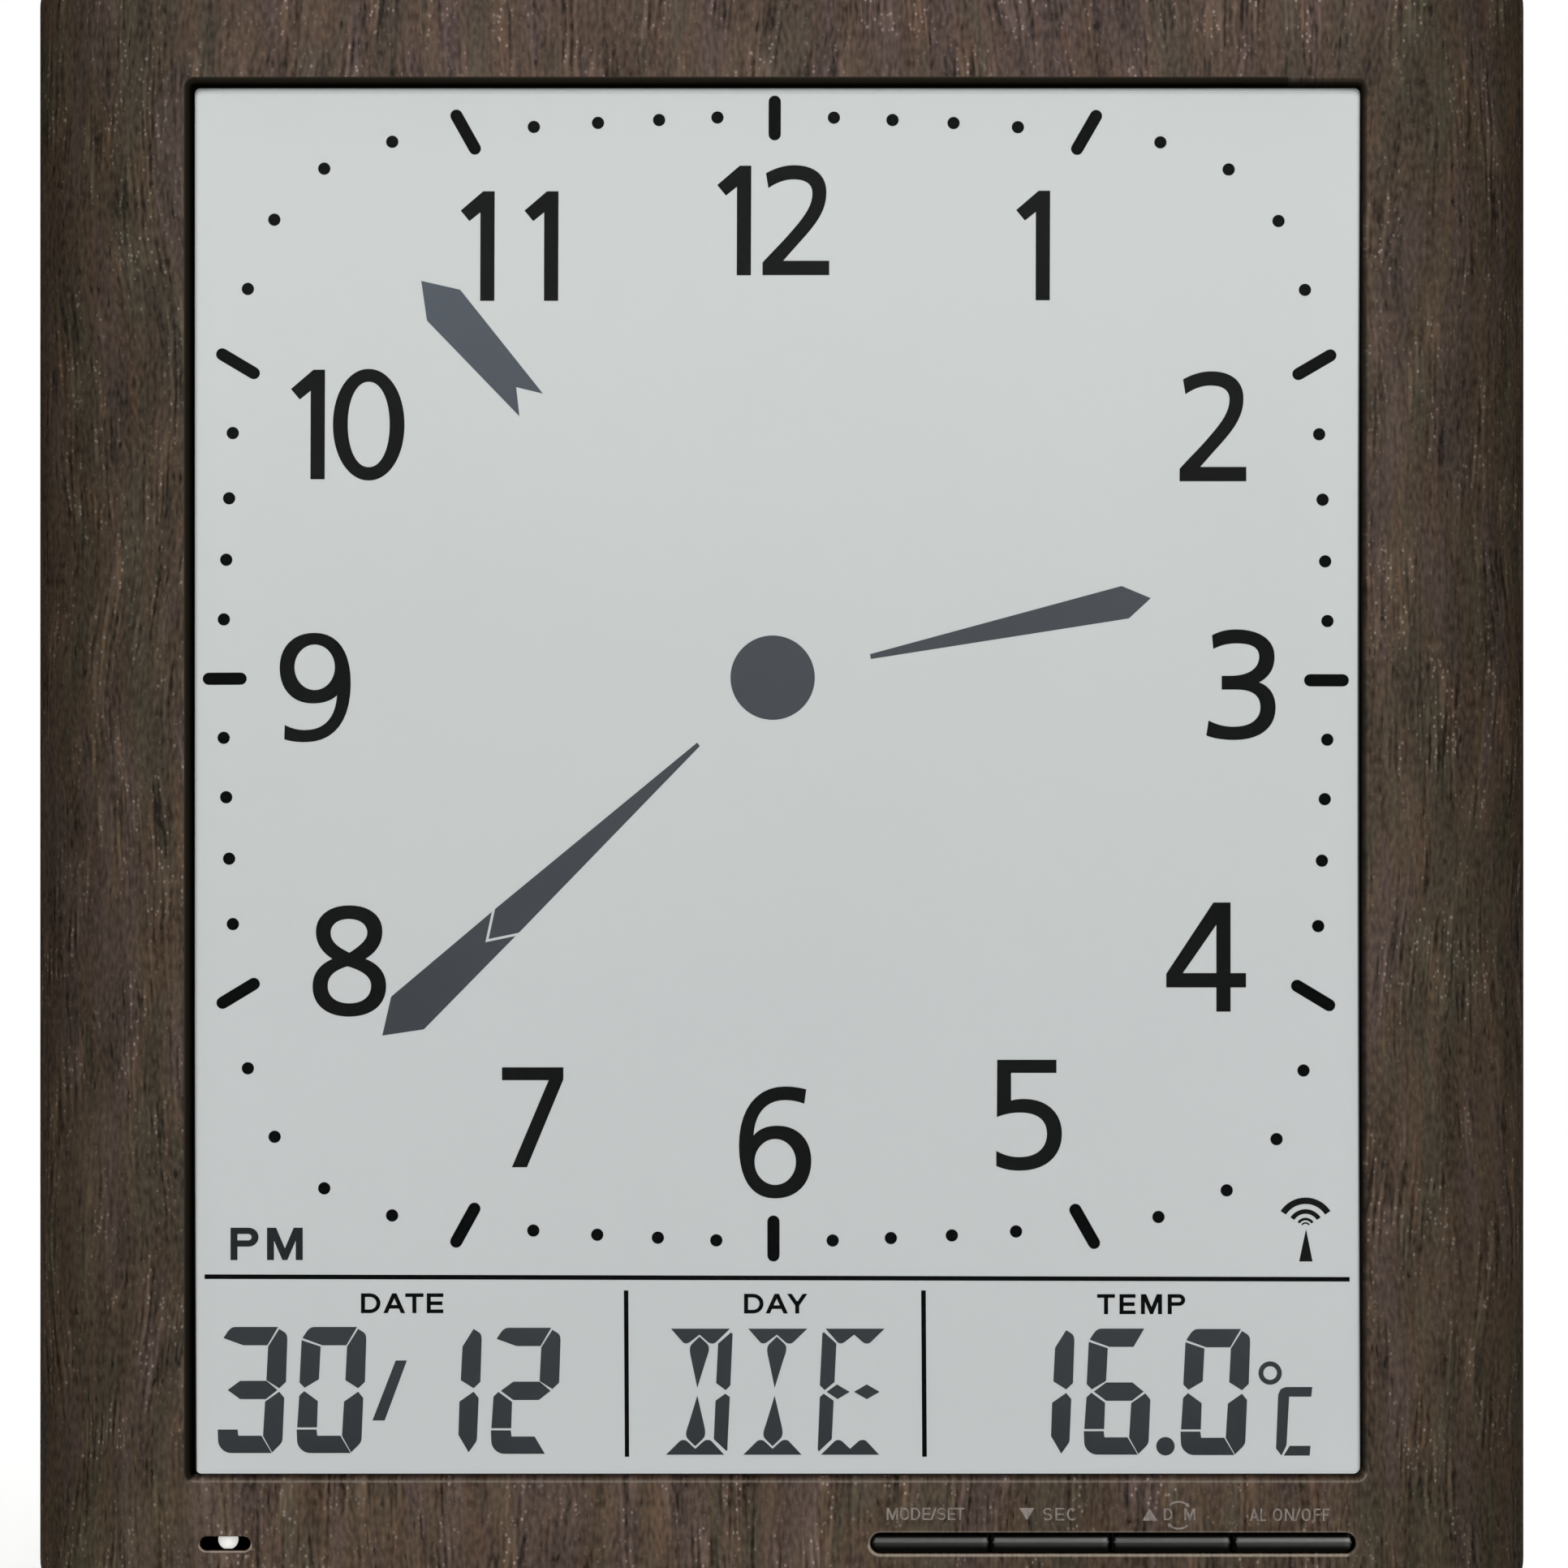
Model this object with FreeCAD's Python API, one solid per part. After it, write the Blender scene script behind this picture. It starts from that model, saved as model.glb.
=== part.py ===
import FreeCAD, Part
import math
import os

from FreeCAD import Vector

# Portrait wall clock with a liquid crystal dial, modelled in millimetres.
# +Z up, +X to the viewer's right, the front faces -Y, the wall is the plane Y = 0.
# The origin is the centre of the keyhole's entry circle on the wall plane.
# Below, x and z are counted from the centre of the frame; put() moves them to the origin.

# ---------------------------------------------------------------- driving dimensions
W, H, D = 206.2, 237.0, 28.0          # frame width, height, depth over the face
KEYHOLE_Z = 92.0                      # entry circle above the frame's centre
FRAME_RC = 11.0                       # plan corner radius of the frame
FLAT_X = 84.0                         # the face is flat to here, then falls back to each side
CROWN_R = 62.5                        # arc of the falling side
EDGE_R = 4.5                          # rounding of the whole front edge
WALL = 2.2                            # side wall of the frame
FACE_T = 2.4                          # front wall
PART_Y = -9.0                         # parting plane between frame and rear cover
Y_FACE = -D
Y_IN = Y_FACE + FACE_T                # inner side of the front wall

WIN_FRONT = (-81.97, 80.37, -96.07, 96.97)   # window at the face, before its rim is rounded
WIN_BACK = (-81.30, 80.10, -95.63, 96.23)    # window at the inner side of the wall
WIN_RIM = 0.7

KEY_SLOT = (12.25, 79.30, -106.40, -103.60)
KEY_SPANS = ((12.64, 28.51), (29.16, 45.16), (45.89, 61.87), (62.65, 78.66))
KEY_H = 2.50                          # key height in the slot
KEY_PROUD = 0.90                      # nose of a key in front of the face
KEY_TRAVEL = 0.5
SENSOR_SLOT = (-80.40, -73.45, -106.00, -104.10)
SENSOR_AT = (-76.90, -105.05)

T_LENS, T_GASKET, T_FILM, T_GLASS, T_BACKFILM = 1.0, 0.8, 0.2, 1.1, 0.3
LCD_HALF_W, LCD_TOP, LCD_BOT, LEDGE = 84.0, 100.5, -102.0, 3.6

PCB_FRONT, PCB_T = -17.5, 1.6
PCB_BACK = PCB_FRONT + PCB_T

CELL_R, CELL_L = 7.25, 50.5           # size AA cells
CELL_Z = (42.2, 26.8)
CELL_Y = -9.95
BAY = (-30.0, 30.0, 19.0, 50.0)
BAY_FLOOR = -17.6
DOOR = (-33.0, 33.0, 16.5, 52.5)
DOOR_Y = (-2.2, -0.4)

LEG = (-40.0, 40.0, -108.0, -60.0)    # fold-out foot, its pivot line at the lower z
LEG_Y, LEG_R = -2.9, 1.9
PIN_R = 1.5

CASE_SCREWS = [(-93, 108), (93, 108), (-93, 0), (93, 0), (-93, -108), (93, -108)]
BRACKET_SCREWS = [(-50, 106.5), (50, 106.5), (-90.5, 55), (90.5, 55), (-90.5, -55), (90.5, -55)]
PCB_SCREWS_FRAME = [(-62, -109), (84, -109)]
PCB_SCREWS_BRACKET = [(-50, -89.5), (50, -89.5)]

os.makedirs("parts", exist_ok=True)
done = {}


def put(node, shape, clean=True):
    """Moves a piece from the frame's centre to the origin and writes it."""
    if clean:
        shape = shape.removeSplitter()
    shape = shape.copy()
    shape.translate(Vector(0, 0, -KEYHOLE_Z))
    assert shape.isValid(), node
    shape.exportStep("parts/%s.step" % node)
    done[node] = shape


# ---------------------------------------------------------------- shape helpers
def box(x0, x1, y0, y1, z0, z1):
    return Part.makeBox(x1 - x0, y1 - y0, z1 - z0, Vector(x0, y0, z0))


def cyl_y(x, z, r, y0, y1):
    return Part.makeCylinder(r, y1 - y0, Vector(x, y0, z), Vector(0, 1, 0))


def cyl_x(y, z, r, x0, x1):
    return Part.makeCylinder(r, x1 - x0, Vector(x0, y, z), Vector(1, 0, 0))


def fuse(*shapes):
    first, rest = shapes[0], list(shapes[1:])
    return first.fuse(rest) if rest else first


def rr_wire(b, y, r_top, r_bot=None):
    """Rounded rectangle b = (x0, x1, z0, z1) in the plane y."""
    x0, x1, z0, z1 = b
    rb = r_top if r_bot is None else r_bot
    k = 1 - math.sqrt(0.5)
    P = lambda x, z: Vector(x, y, z)
    e = []

    def line(a, c):
        if (a - c).Length > 1e-6:
            e.append(Part.LineSegment(a, c).toShape())

    line(P(x0 + rb, z0), P(x1 - rb, z0))
    e.append(Part.Arc(P(x1 - rb, z0), P(x1 - rb * k, z0 + rb * k), P(x1, z0 + rb)).toShape())
    line(P(x1, z0 + rb), P(x1, z1 - r_top))
    e.append(Part.Arc(P(x1, z1 - r_top), P(x1 - r_top * k, z1 - r_top * k), P(x1 - r_top, z1)).toShape())
    line(P(x1 - r_top, z1), P(x0 + r_top, z1))
    e.append(Part.Arc(P(x0 + r_top, z1), P(x0 + r_top * k, z1 - r_top * k), P(x0, z1 - r_top)).toShape())
    line(P(x0, z1 - r_top), P(x0, z0 + rb))
    e.append(Part.Arc(P(x0, z0 + rb), P(x0 + rb * k, z0 + rb * k), P(x0 + rb, z0)).toShape())
    return Part.Wire(e)


def plate(b, y0, y1, r_top, r_bot=None):
    return Part.Face(rr_wire(b, y0, r_top, r_bot)).extrude(Vector(0, y1 - y0, 0))


def grow(b, d):
    return (b[0] - d, b[1] + d, b[2] - d, b[3] + d)


def crown_slab(w, h, rc, y_front, y_back, r_crown, r_edge):
    """Slab with rounded plan corners: flat in the middle, each side falling back on an arc
    from FLAT_X outwards, and the whole front edge rounded."""
    dx = w / 2 - FLAT_X
    drop = r_crown - math.sqrt(r_crown ** 2 - dx ** 2)
    mid = math.asin(dx / r_crown) / 2
    mx, my = r_crown * math.sin(mid), r_crown * (1 - math.cos(mid))
    P = lambda x, y: Vector(x, y, -h / 2)
    y_side = y_front + drop
    pts = [P(-w / 2, y_back), P(-w / 2, y_side), P(-FLAT_X, y_front), P(FLAT_X, y_front), P(w / 2, y_side),
           P(w / 2, y_back)]
    edges = [Part.LineSegment(pts[0], pts[1]).toShape(),
             Part.Arc(pts[1], P(-FLAT_X - mx, y_front + my), pts[2]).toShape(),
             Part.LineSegment(pts[2], pts[3]).toShape(),
             Part.Arc(pts[3], P(FLAT_X + mx, y_front + my), pts[4]).toShape(),
             Part.LineSegment(pts[4], pts[5]).toShape(),
             Part.LineSegment(pts[5], pts[0]).toShape()]
    slab = Part.Face(Part.Wire(edges)).extrude(Vector(0, 0, h))
    slab = slab.common(plate((-w / 2, w / 2, -h / 2, h / 2), y_front - 1, y_back, rc))
    rim = []
    for e in slab.Edges:
        m = e.valueAt((e.FirstParameter + e.LastParameter) / 2)
        bb = e.BoundBox
        on_side = abs(m.x) > w / 2 - 1e-3 or abs(m.z) > h / 2 - 1e-3 or abs(
            math.hypot(abs(m.x) - (w / 2 - rc), abs(m.z) - (h / 2 - rc)) - rc) < 1e-3
        if on_side and m.y < y_side + 1e-3 and bb.YMax < y_side + 0.05:
            rim.append(e)
    return slab.makeFillet(r_edge, rim)


def rim_edges(shape, y, b, tol=2.0):
    """Edges of a face in the plane y that lie near the outline b."""
    out = []
    for e in shape.Edges:
        bb = e.BoundBox
        if abs(bb.YMin - y) < 1e-4 and abs(bb.YMax - y) < 1e-4:
            if bb.XMin > b[0] - tol and bb.XMax < b[1] + tol and bb.ZMin > b[2] - tol and bb.ZMax < b[3] + tol:
                out.append(e)
    return out


def screw(x, z, y_head, head_r, head_h, r, length, direction=-1):
    """Pan head screw whose head's underside is at y_head, its shank running along direction."""
    d = direction
    head = Part.makeCylinder(head_r, head_h, Vector(x, y_head, z), Vector(0, -d, 0))
    top = max((e for e in head.Edges if e.isClosed()), key=lambda e: -d * e.BoundBox.YMin)
    head = head.makeFillet(head_h * 0.45, [top])
    shank = Part.makeCylinder(r, length - r, Vector(x, y_head, z), Vector(0, d, 0))
    tip = Part.makeCone(r, r * 0.25, r, Vector(x, y_head + d * (length - r), z), Vector(0, d, 0))
    s = fuse(head, shank, tip)
    y_top = y_head - d * head_h
    for a in (0, 90):
        cut = Part.makeBox(head_r * 1.15, 1.2, head_r * 0.3, Vector(-head_r * 0.575, -0.6, -head_r * 0.15))
        cut.rotate(Vector(0, 0, 0), Vector(0, 1, 0), a + 20)
        cut.translate(Vector(x, y_top, z))
        s = s.cut(cut)
    return s.removeSplitter()


def wire_path(points, share):
    """Straight runs joined by tangent arcs, each taking this share of the shorter run."""
    pts = [Vector(*p) for p in points]
    edges, radii = [], []
    last = pts[0]
    for i in range(1, len(pts) - 1):
        a, b, c = pts[i - 1], pts[i], pts[i + 1]
        u, v = (a - b), (c - b)
        lu, lv = u.Length, v.Length
        u.normalize()
        v.normalize()
        turn = math.pi - u.getAngle(v)
        t = share * min(lu, lv)
        r = t / math.tan(turn / 2)
        radii.append(r)
        p, q = b + u * t, b + v * t
        bis = (u + v)
        bis.normalize()
        mid = b + bis * (r / math.cos(turn / 2) - r)
        if (p - last).Length > 1e-6:
            edges.append(Part.LineSegment(last, p).toShape())
        edges.append(Part.Arc(p, mid, q).toShape())
        last = q
    edges.append(Part.LineSegment(last, pts[-1]).toShape())
    return Part.Wire(edges), radii


def lead(points, r, name="", share=0.45):
    path, radii = wire_path(points, share)
    d = Vector(*points[1]) - Vector(*points[0])
    ring = Part.Wire([Part.Circle(Vector(*points[0]), d, r).toShape()])
    tube = path.makePipeShell([ring], True, False, 2)
    want = math.pi * r * r * path.Length
    print("%-22s length %.1f smallest radius %.1f volume ratio %.4f" % (
        name, path.Length, min(radii), tube.Volume / want))
    return tube


# ---------------------------------------------------------------- front frame
outer = crown_slab(W, H, FRAME_RC, Y_FACE, PART_Y, CROWN_R, EDGE_R)
inner = crown_slab(W - 2 * WALL, H - 2 * WALL, FRAME_RC - WALL, Y_IN, PART_Y + 1, CROWN_R - FACE_T, EDGE_R - 2.0)
core = crown_slab(W - 2.0, H - 2.0, FRAME_RC - 1.0, Y_FACE + 1.0, PART_Y, CROWN_R - 1.0, EDGE_R - 1.0)
front = outer.cut(inner)

k = 0.5 / FACE_T
f_over = tuple(f + (f - b_) * k for f, b_ in zip(WIN_FRONT, WIN_BACK))
b_over = tuple(b_ - (f - b_) * k for f, b_ in zip(WIN_FRONT, WIN_BACK))
window_cut = Part.makeLoft([rr_wire(f_over, Y_FACE - 0.5, 0.85, 1.5),
                            rr_wire(b_over, Y_IN + 0.5, 0.8, 0.9)], True, True)
front = front.cut(window_cut)
front = front.cut(plate(KEY_SLOT, Y_FACE - 1, Y_IN + 1, 1.399))
front = front.cut(plate(SENSOR_SLOT, Y_FACE - 1, Y_IN + 1, 0.949))
front = front.removeSplitter()
front = front.makeFillet(WIN_RIM, rim_edges(front, Y_FACE, WIN_FRONT))
front = front.makeFillet(0.30, rim_edges(front, Y_FACE, KEY_SLOT, 0.5))
front = front.makeFillet(0.25, rim_edges(front, Y_FACE, SENSOR_SLOT, 0.5))

adds, holes = [], []
for x, z in CASE_SCREWS:
    adds.append(cyl_y(x, z, 3.5, Y_FACE, PART_Y))
    adds.append(box(x - 0.6, x + 0.6, Y_FACE, -14.0, z - 5.5, z + 5.5).common(
        cyl_y(x, z, 5.5, Y_FACE, -14.0)))
    holes.append(cyl_y(x, z, 1.5, -20.0, PART_Y + 1))
Y_BRK = Y_IN + T_LENS + T_GASKET + T_FILM + 2 * T_GLASS + T_BACKFILM     # rear of the display sandwich
for x, z in BRACKET_SCREWS:
    adds.append(cyl_y(x, z, 2.6, Y_FACE, Y_BRK))
    holes.append(cyl_y(x, z, 1.05, -24.8, Y_BRK + 1))
for x, z in PCB_SCREWS_FRAME:
    adds.append(cyl_y(x, z, 2.6, Y_FACE, PCB_FRONT))
    holes.append(cyl_y(x, z, 1.05, -24.0, PCB_FRONT + 1))
# ribs that locate the display, and a wall between it and the keys
adds.append(box(-80.0, 86.0, Y_IN - 0.3, -21.6, -102.95, -102.15))
adds.append(box(-80.0, 80.0, Y_IN - 0.3, -21.6, LCD_TOP + 0.15, LCD_TOP + 1.15))
for s in (1, -1):
    adds.append(box(min(s * 84.2, s * 85.2), max(s * 84.2, s * 85.2), Y_IN - 0.3, -21.6, -95.0, 95.0))
# stiffening webs between the side walls and the ribs
for z in (-80, -30, 30, 80):
    for s in (1, -1):
        adds.append(box(min(s * 85.0, s * 102.0), max(s * 85.0, s * 102.0), Y_IN - 0.4, -23.6, z - 0.6, z + 0.6))
for x in (-70, -25, 25, 70):
    adds.append(box(x - 0.6, x + 0.6, Y_IN - 0.4, -23.6, LCD_TOP + 1.0, 118.0))
for x in (-50, -20):
    adds.append(box(x - 0.6, x + 0.6, Y_IN - 0.4, -23.6, -118.0, -102.8))
# guide wall around the sensor
sensor_guide = plate(grow(SENSOR_SLOT, 1.6), Y_IN - 0.3, -21.0, 1.4).cut(
    plate(grow(SENSOR_SLOT, 0.7), Y_IN - 1.0, -20.0, 1.3))
adds.append(sensor_guide)
add = fuse(*adds).common(core)
front = fuse(front, add)
front = front.cut(fuse(*holes))
# the window and the slots stay open behind the ribs
put("front_frame", front)

# ---------------------------------------------------------------- display sandwich
y = Y_IN
put("display_window", plate((-LCD_HALF_W, LCD_HALF_W, LCD_BOT, LCD_TOP), y, y + T_LENS, 1.0))
y += T_LENS
ring = plate((-LCD_HALF_W, LCD_HALF_W, LCD_BOT, LCD_TOP), y, y + T_GASKET, 1.0)
put("window_gasket", ring.cut(plate((-82.2, 81.0, -96.7, 97.3), y - 1, y + T_GASKET + 1, 1.0)))
y += T_GASKET
put("lcd_front_polariser", plate((-83.2, 83.2, -98.2, 99.7), y, y + T_FILM, 0.5))
y += T_FILM
Y_GLASS = y
put("lcd_front_glass", box(-LCD_HALF_W, LCD_HALF_W, y, y + T_GLASS, LCD_BOT, LCD_TOP))
y += T_GLASS
Y_LEDGE = y
put("lcd_rear_glass", box(-LCD_HALF_W, LCD_HALF_W, y, y + T_GLASS, LCD_BOT + LEDGE, LCD_TOP))
y += T_GLASS
put("lcd_reflector", plate((-83.2, 83.2, -97.8, 99.7), y, y + T_BACKFILM, 0.5))
y += T_BACKFILM
assert abs(y - Y_BRK) < 1e-9

# tray that presses the sandwich against the front wall
T_BRK = 1.8
brk = plate((-86.9, 86.9, -101.9, 102.9), Y_BRK, Y_BRK + T_BRK, 2.0)
brk = brk.cut(plate((-74.0, 74.0, -84.0, 92.0), Y_BRK - 1, Y_BRK + T_BRK + 1, 3.0))
bits = []
for x, z in BRACKET_SCREWS:
    if abs(x) > 80:
        s = 1 if x > 0 else -1
        bits.append(fuse(box(min(x, s * 86), max(x, s * 86), Y_BRK, Y_BRK + T_BRK, z - 3.6, z + 3.6),
                         cyl_y(x, z, 3.6, Y_BRK, Y_BRK + T_BRK)))
    else:
        bits.append(fuse(box(x - 3.6, x + 3.6, Y_BRK, Y_BRK + T_BRK, 102, z), cyl_y(x, z, 3.6, Y_BRK, Y_BRK + T_BRK)))
for x, z in PCB_SCREWS_BRACKET:
    bits.append(cyl_y(x, z, 2.6, Y_BRK, PCB_FRONT))
# folded edge for stiffness, left open where the board passes
bits.append(box(-75.2, -74.0, Y_BRK, Y_BRK + 4.0, -70.0, 88.0))
bits.append(box(74.0, 75.2, Y_BRK, Y_BRK + 4.0, -70.0, 88.0))
bits.append(box(-70.0, 70.0, Y_BRK, Y_BRK + 4.0, 92.0, 93.2))
brk = fuse(brk, *bits)
cuts = [cyl_y(x, z, 1.25, Y_BRK - 1, Y_BRK + T_BRK + 1) for x, z in BRACKET_SCREWS]
cuts += [cyl_y(x, z, 1.05, Y_BRK + 0.6, PCB_FRONT + 1) for x, z in PCB_SCREWS_BRACKET]
ZEBRA = (-76.0, 76.0, -101.4, -99.2)
cuts.append(plate(grow(ZEBRA, 0.15), Y_BRK - 1, Y_BRK + T_BRK + 1, 0.3))
put("lcd_bracket", brk.cut(fuse(*cuts)))
put("lcd_bracket_screws", Part.makeCompound(
    [screw(x, z, Y_BRK + T_BRK, 2.1, 1.4, 1.0, 5.0) for x, z in BRACKET_SCREWS]), clean=False)
put("zebra_connector", box(ZEBRA[0], ZEBRA[1], Y_LEDGE, PCB_FRONT, ZEBRA[2], ZEBRA[3]))

# ---------------------------------------------------------------- main board
pcb = plate((-84.0, 88.0, -112.0, -86.0), PCB_FRONT, PCB_BACK, 1.0)
pcb = pcb.cut(fuse(*[cyl_y(x, z, 1.25, PCB_FRONT - 1, PCB_BACK + 1)
                     for x, z in PCB_SCREWS_FRAME + PCB_SCREWS_BRACKET]))
SENSOR_LEADS = [(SENSOR_AT[0] + dx, SENSOR_AT[1]) for dx in (-0.75, 0.75)]
pcb = pcb.cut(fuse(*[cyl_y(x, z, 0.35, PCB_FRONT - 1, PCB_BACK + 1) for x, z in SENSOR_LEADS]))
put("main_pcb", pcb)
put("main_pcb_screws", Part.makeCompound(
    [screw(x, z, PCB_BACK, 2.1, 1.4, 1.0, 4.4) for x, z in PCB_SCREWS_FRAME + PCB_SCREWS_BRACKET]), clean=False)

# epoxy dome over the bare chip: a lens of two spheres' cap on a short disc
dome_r, dome_h = 8.0, 1.7
sph = (dome_r ** 2 + dome_h ** 2) / (2 * dome_h)
dome = Part.makeSphere(sph, Vector(-20.0, PCB_BACK + dome_h - sph, -99.0)).common(
    cyl_y(-20.0, -99.0, dome_r, PCB_BACK, PCB_BACK + 5))
put("controller_chip", dome)
can = Part.makeCylinder(1.5, 8.0, Vector(6.0, PCB_BACK + 1.6, -97.0), Vector(1, 0, 0))
can = can.makeFillet(0.5, [e for e in can.Edges if e.isClosed()])
legs = [box(5.0, 7.2, PCB_BACK, PCB_BACK + 0.4, -97.0 + s * 0.5 - 0.15, -97.0 + s * 0.5 + 0.15) for s in (1, -1)]
base = box(7.0, 13.0, PCB_BACK, PCB_BACK + 0.4, -97.8, -96.2)
put("quartz_crystal", fuse(can, base, *legs))
cap = Part.makeCylinder(3.1, 9.0, Vector(-45.0, PCB_BACK + 3.1, -98.0), Vector(0, 0, -1))
cap = cap.makeFillet(0.5, [e for e in cap.Edges if e.isClosed()])
groove = Part.makeTorus(3.25, 0.4, Vector(-45.0, PCB_BACK + 3.1, -99.6), Vector(0, 0, 1))
capfeet = [box(-45.0 + s * 1.2 - 0.3, -45.0 + s * 1.2 + 0.3, PCB_BACK, PCB_BACK + 3.0, -98.0, -97.4) for s in (1, -1)]
put("smoothing_capacitor", fuse(cap.cut(groove), *capfeet))


def switch(x, z, y_board, d):
    """Tact switch: housing on the board, plunger standing out along d (-1 front, 1 rear)."""
    b = (x - 3.0, x + 3.0, z - 3.0, z + 3.0)
    y0, y1 = sorted((y_board, y_board + d * 3.5))
    housing = plate(b, y0, y1, 0.4)
    h0, h1 = sorted((y_board + d * 0.5, y_board + d * 4.0))
    housing = housing.cut(cyl_y(x, z, 1.85, h0, h1))
    p0, p1 = sorted((y_board + d * 1.4, y_board + d * 4.3))
    plunger = cyl_y(x, z, 1.70, p0, p1)
    end = [e for e in plunger.Edges if e.isClosed() and abs(e.BoundBox.YMin - (y_board + d * 4.3)) < 1e-6]
    return housing, plunger.makeFillet(0.3, end)


KEY_NAMES = ("mode_set", "down_second", "up_day_month", "alarm")
KZ = (KEY_SLOT[2] + KEY_SLOT[3]) / 2
for i, (name, (x0, x1)) in enumerate(zip(KEY_NAMES, KEY_SPANS)):
    xc = (x0 + x1) / 2
    housing, plunger = switch(xc, KZ, PCB_FRONT, -1)
    put("switch_" + name, housing)
    put("plunger_" + name, plunger)
    # key cap: a bar with a half-round nose, its outer end following the slot's round end
    hw = KEY_H / 2
    y_nose = Y_FACE - KEY_PROUD
    bar = fuse(box(x0, x1, y_nose + hw, Y_IN + 0.2, KZ - hw, KZ + hw),
               cyl_x(y_nose + hw, KZ, hw, x0, x1)).removeSplitter()
    rl = rr = 0.35
    ends = plate((x0, x1, KZ - hw, KZ + hw), y_nose - 1, Y_IN + 2, 0.35)
    if i == 0:
        ends = fuse(plate((x0, x0 + 8, KZ - hw, KZ + hw), y_nose - 1, Y_IN + 2, hw - 0.001),
                    plate((x0 + 4, x1, KZ - hw, KZ + hw), y_nose - 1, Y_IN + 2, 0.35))
    if i == 3:
        ends = fuse(plate((x1 - 8, x1, KZ - hw, KZ + hw), y_nose - 1, Y_IN + 2, hw - 0.001),
                    plate((x0, x1 - 4, KZ - hw, KZ + hw), y_nose - 1, Y_IN + 2, 0.35))
    bar = bar.common(ends.removeSplitter()).removeSplitter()
    flange = plate((x0 - 0.15, x1 + 0.15, KZ - hw - 0.7, KZ + hw + 0.7), Y_IN + 0.15, Y_IN + 1.2, 0.5)
    y_pl = PCB_FRONT - 4.3
    stem = fuse(box(xc - 2.0, xc + 2.0, Y_IN + 1.0, y_pl, KZ - 1.2, KZ + 1.2),
                box(xc - 0.6, xc + 0.6, Y_IN + 1.0, y_pl, KZ - 1.8, KZ + 1.8))
    put("key_" + name, fuse(bar, flange, stem))

# thermistor bead on two leads
bead = Part.makeSphere(1.4, Vector(SENSOR_AT[0], -22.4, SENSOR_AT[1]))
neck = Part.makeCone(1.15, 0.9, 1.6, Vector(SENSOR_AT[0], -21.6, SENSOR_AT[1]), Vector(0, 1, 0))
put("temperature_sensor", fuse(bead, neck, *[cyl_y(x, z, 0.3, -21.4, PCB_BACK + 0.8) for x, z in SENSOR_LEADS]))

# ---------------------------------------------------------------- rear cover
RW, RH, RRC = W - 1.6, H - 1.6, FRAME_RC - 0.8
cover = plate((-RW / 2, RW / 2, -RH / 2, RH / 2), PART_Y, 0.0, RRC)
cover = cover.makeFillet(3.5, [e for e in cover.Edges if abs(e.BoundBox.YMin) < 1e-6 and abs(e.BoundBox.YMax) < 1e-6])
T_REAR = 2.0
hollow = plate((-RW / 2 + 2.2, RW / 2 - 2.2, -RH / 2 + 2.2, RH / 2 - 2.2), PART_Y - 1, -T_REAR, RRC - 2.2)
hollow = hollow.makeFillet(2.0, [e for e in hollow.Edges if abs(e.BoundBox.YMin + T_REAR) < 1e-6
                                 and abs(e.BoundBox.YMax + T_REAR) < 1e-6])
cover = cover.cut(hollow)
# lip that enters the frame
lw, lh, lr = W - 2 * WALL - 0.3, H - 2 * WALL - 0.3, FRAME_RC - WALL - 0.15
lip = plate((-lw / 2, lw / 2, -lh / 2, lh / 2), PART_Y - 2.4, PART_Y + 1.0, lr).cut(
    plate((-lw / 2 + 1.2, lw / 2 - 1.2, -lh / 2 + 1.2, lh / 2 - 1.2), PART_Y - 4, PART_Y + 2, lr - 1.2))
adds, holes = [lip], []
for x, z in CASE_SCREWS:
    adds.append(cyl_y(x, z, 4.5, PART_Y, -1.0))
    holes.append(cyl_y(x, z, 3.3, -7.0, 1.0))
    holes.append(cyl_y(x, z, 1.7, PART_Y - 1, 1.0))
# battery bay
bx0, bx1, bz0, bz1 = BAY
adds.append(box(bx0 - 1.4, bx1 + 1.4, BAY_FLOOR - 1.3, -1.0, bz0 - 1.4, bz1 + 1.4))
adds.append(plate(grow(DOOR, 2.2), -4.0, -1.0, 2.5))
holes.append(box(bx0, bx1, BAY_FLOOR, 1.0, bz0, bz1))
holes.append(plate(grow(DOOR, 0.3), DOOR_Y[0], 1.0, 1.8))
# finger notch above the door
notch = box(-9.0, 9.0, -4.6, 1.0, DOOR[3], DOOR[3] + 7.0)
adds.append(box(-10.6, 10.6, -6.2, -1.0, DOOR[3] - 1.0, DOOR[3] + 8.6))
# pocket behind the keyhole
adds.append(box(-9.0, 9.0, -9.6, -1.0, 82.4, 107.6))
holes.append(box(-7.4, 7.4, -8.0, -T_REAR, 84.0, 106.0))
holes.append(cyl_y(0, KEYHOLE_Z, 4.5, -3.0, 1.0))
holes.append(fuse(cyl_y(0, KEYHOLE_Z + 8.0, 2.25, -3.0, 1.0), box(-2.25, 2.25, -3.0, 1.0, KEYHOLE_Z, KEYHOLE_Z + 8.0)))
# recess of the fold-out foot, with its pin holes and a finger notch
lx0, lx1, lz0, lz1 = LEG
R_FLOOR = LEG_Y - LEG_R - 0.5
adds.append(box(lx0 - 4.6, lx1 + 4.6, R_FLOOR - 1.5, -1.0, lz0 - 4.4, lz1 + 2.4))
adds.append(box(-11.6, 11.6, R_FLOOR - 1.5, -1.0, lz1, lz1 + 8.8))
holes.append(box(lx0 - 0.5, lx1 + 0.5, R_FLOOR, 1.0, lz0 - LEG_R - 0.7, lz1 + 0.5))
holes.append(box(-10.0, 10.0, R_FLOOR, 1.0, lz1, lz1 + 7.2))
holes.append(cyl_x(LEG_Y, lz0, PIN_R + 0.08, lx0 - 3.0, lx1 + 3.0))
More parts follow.
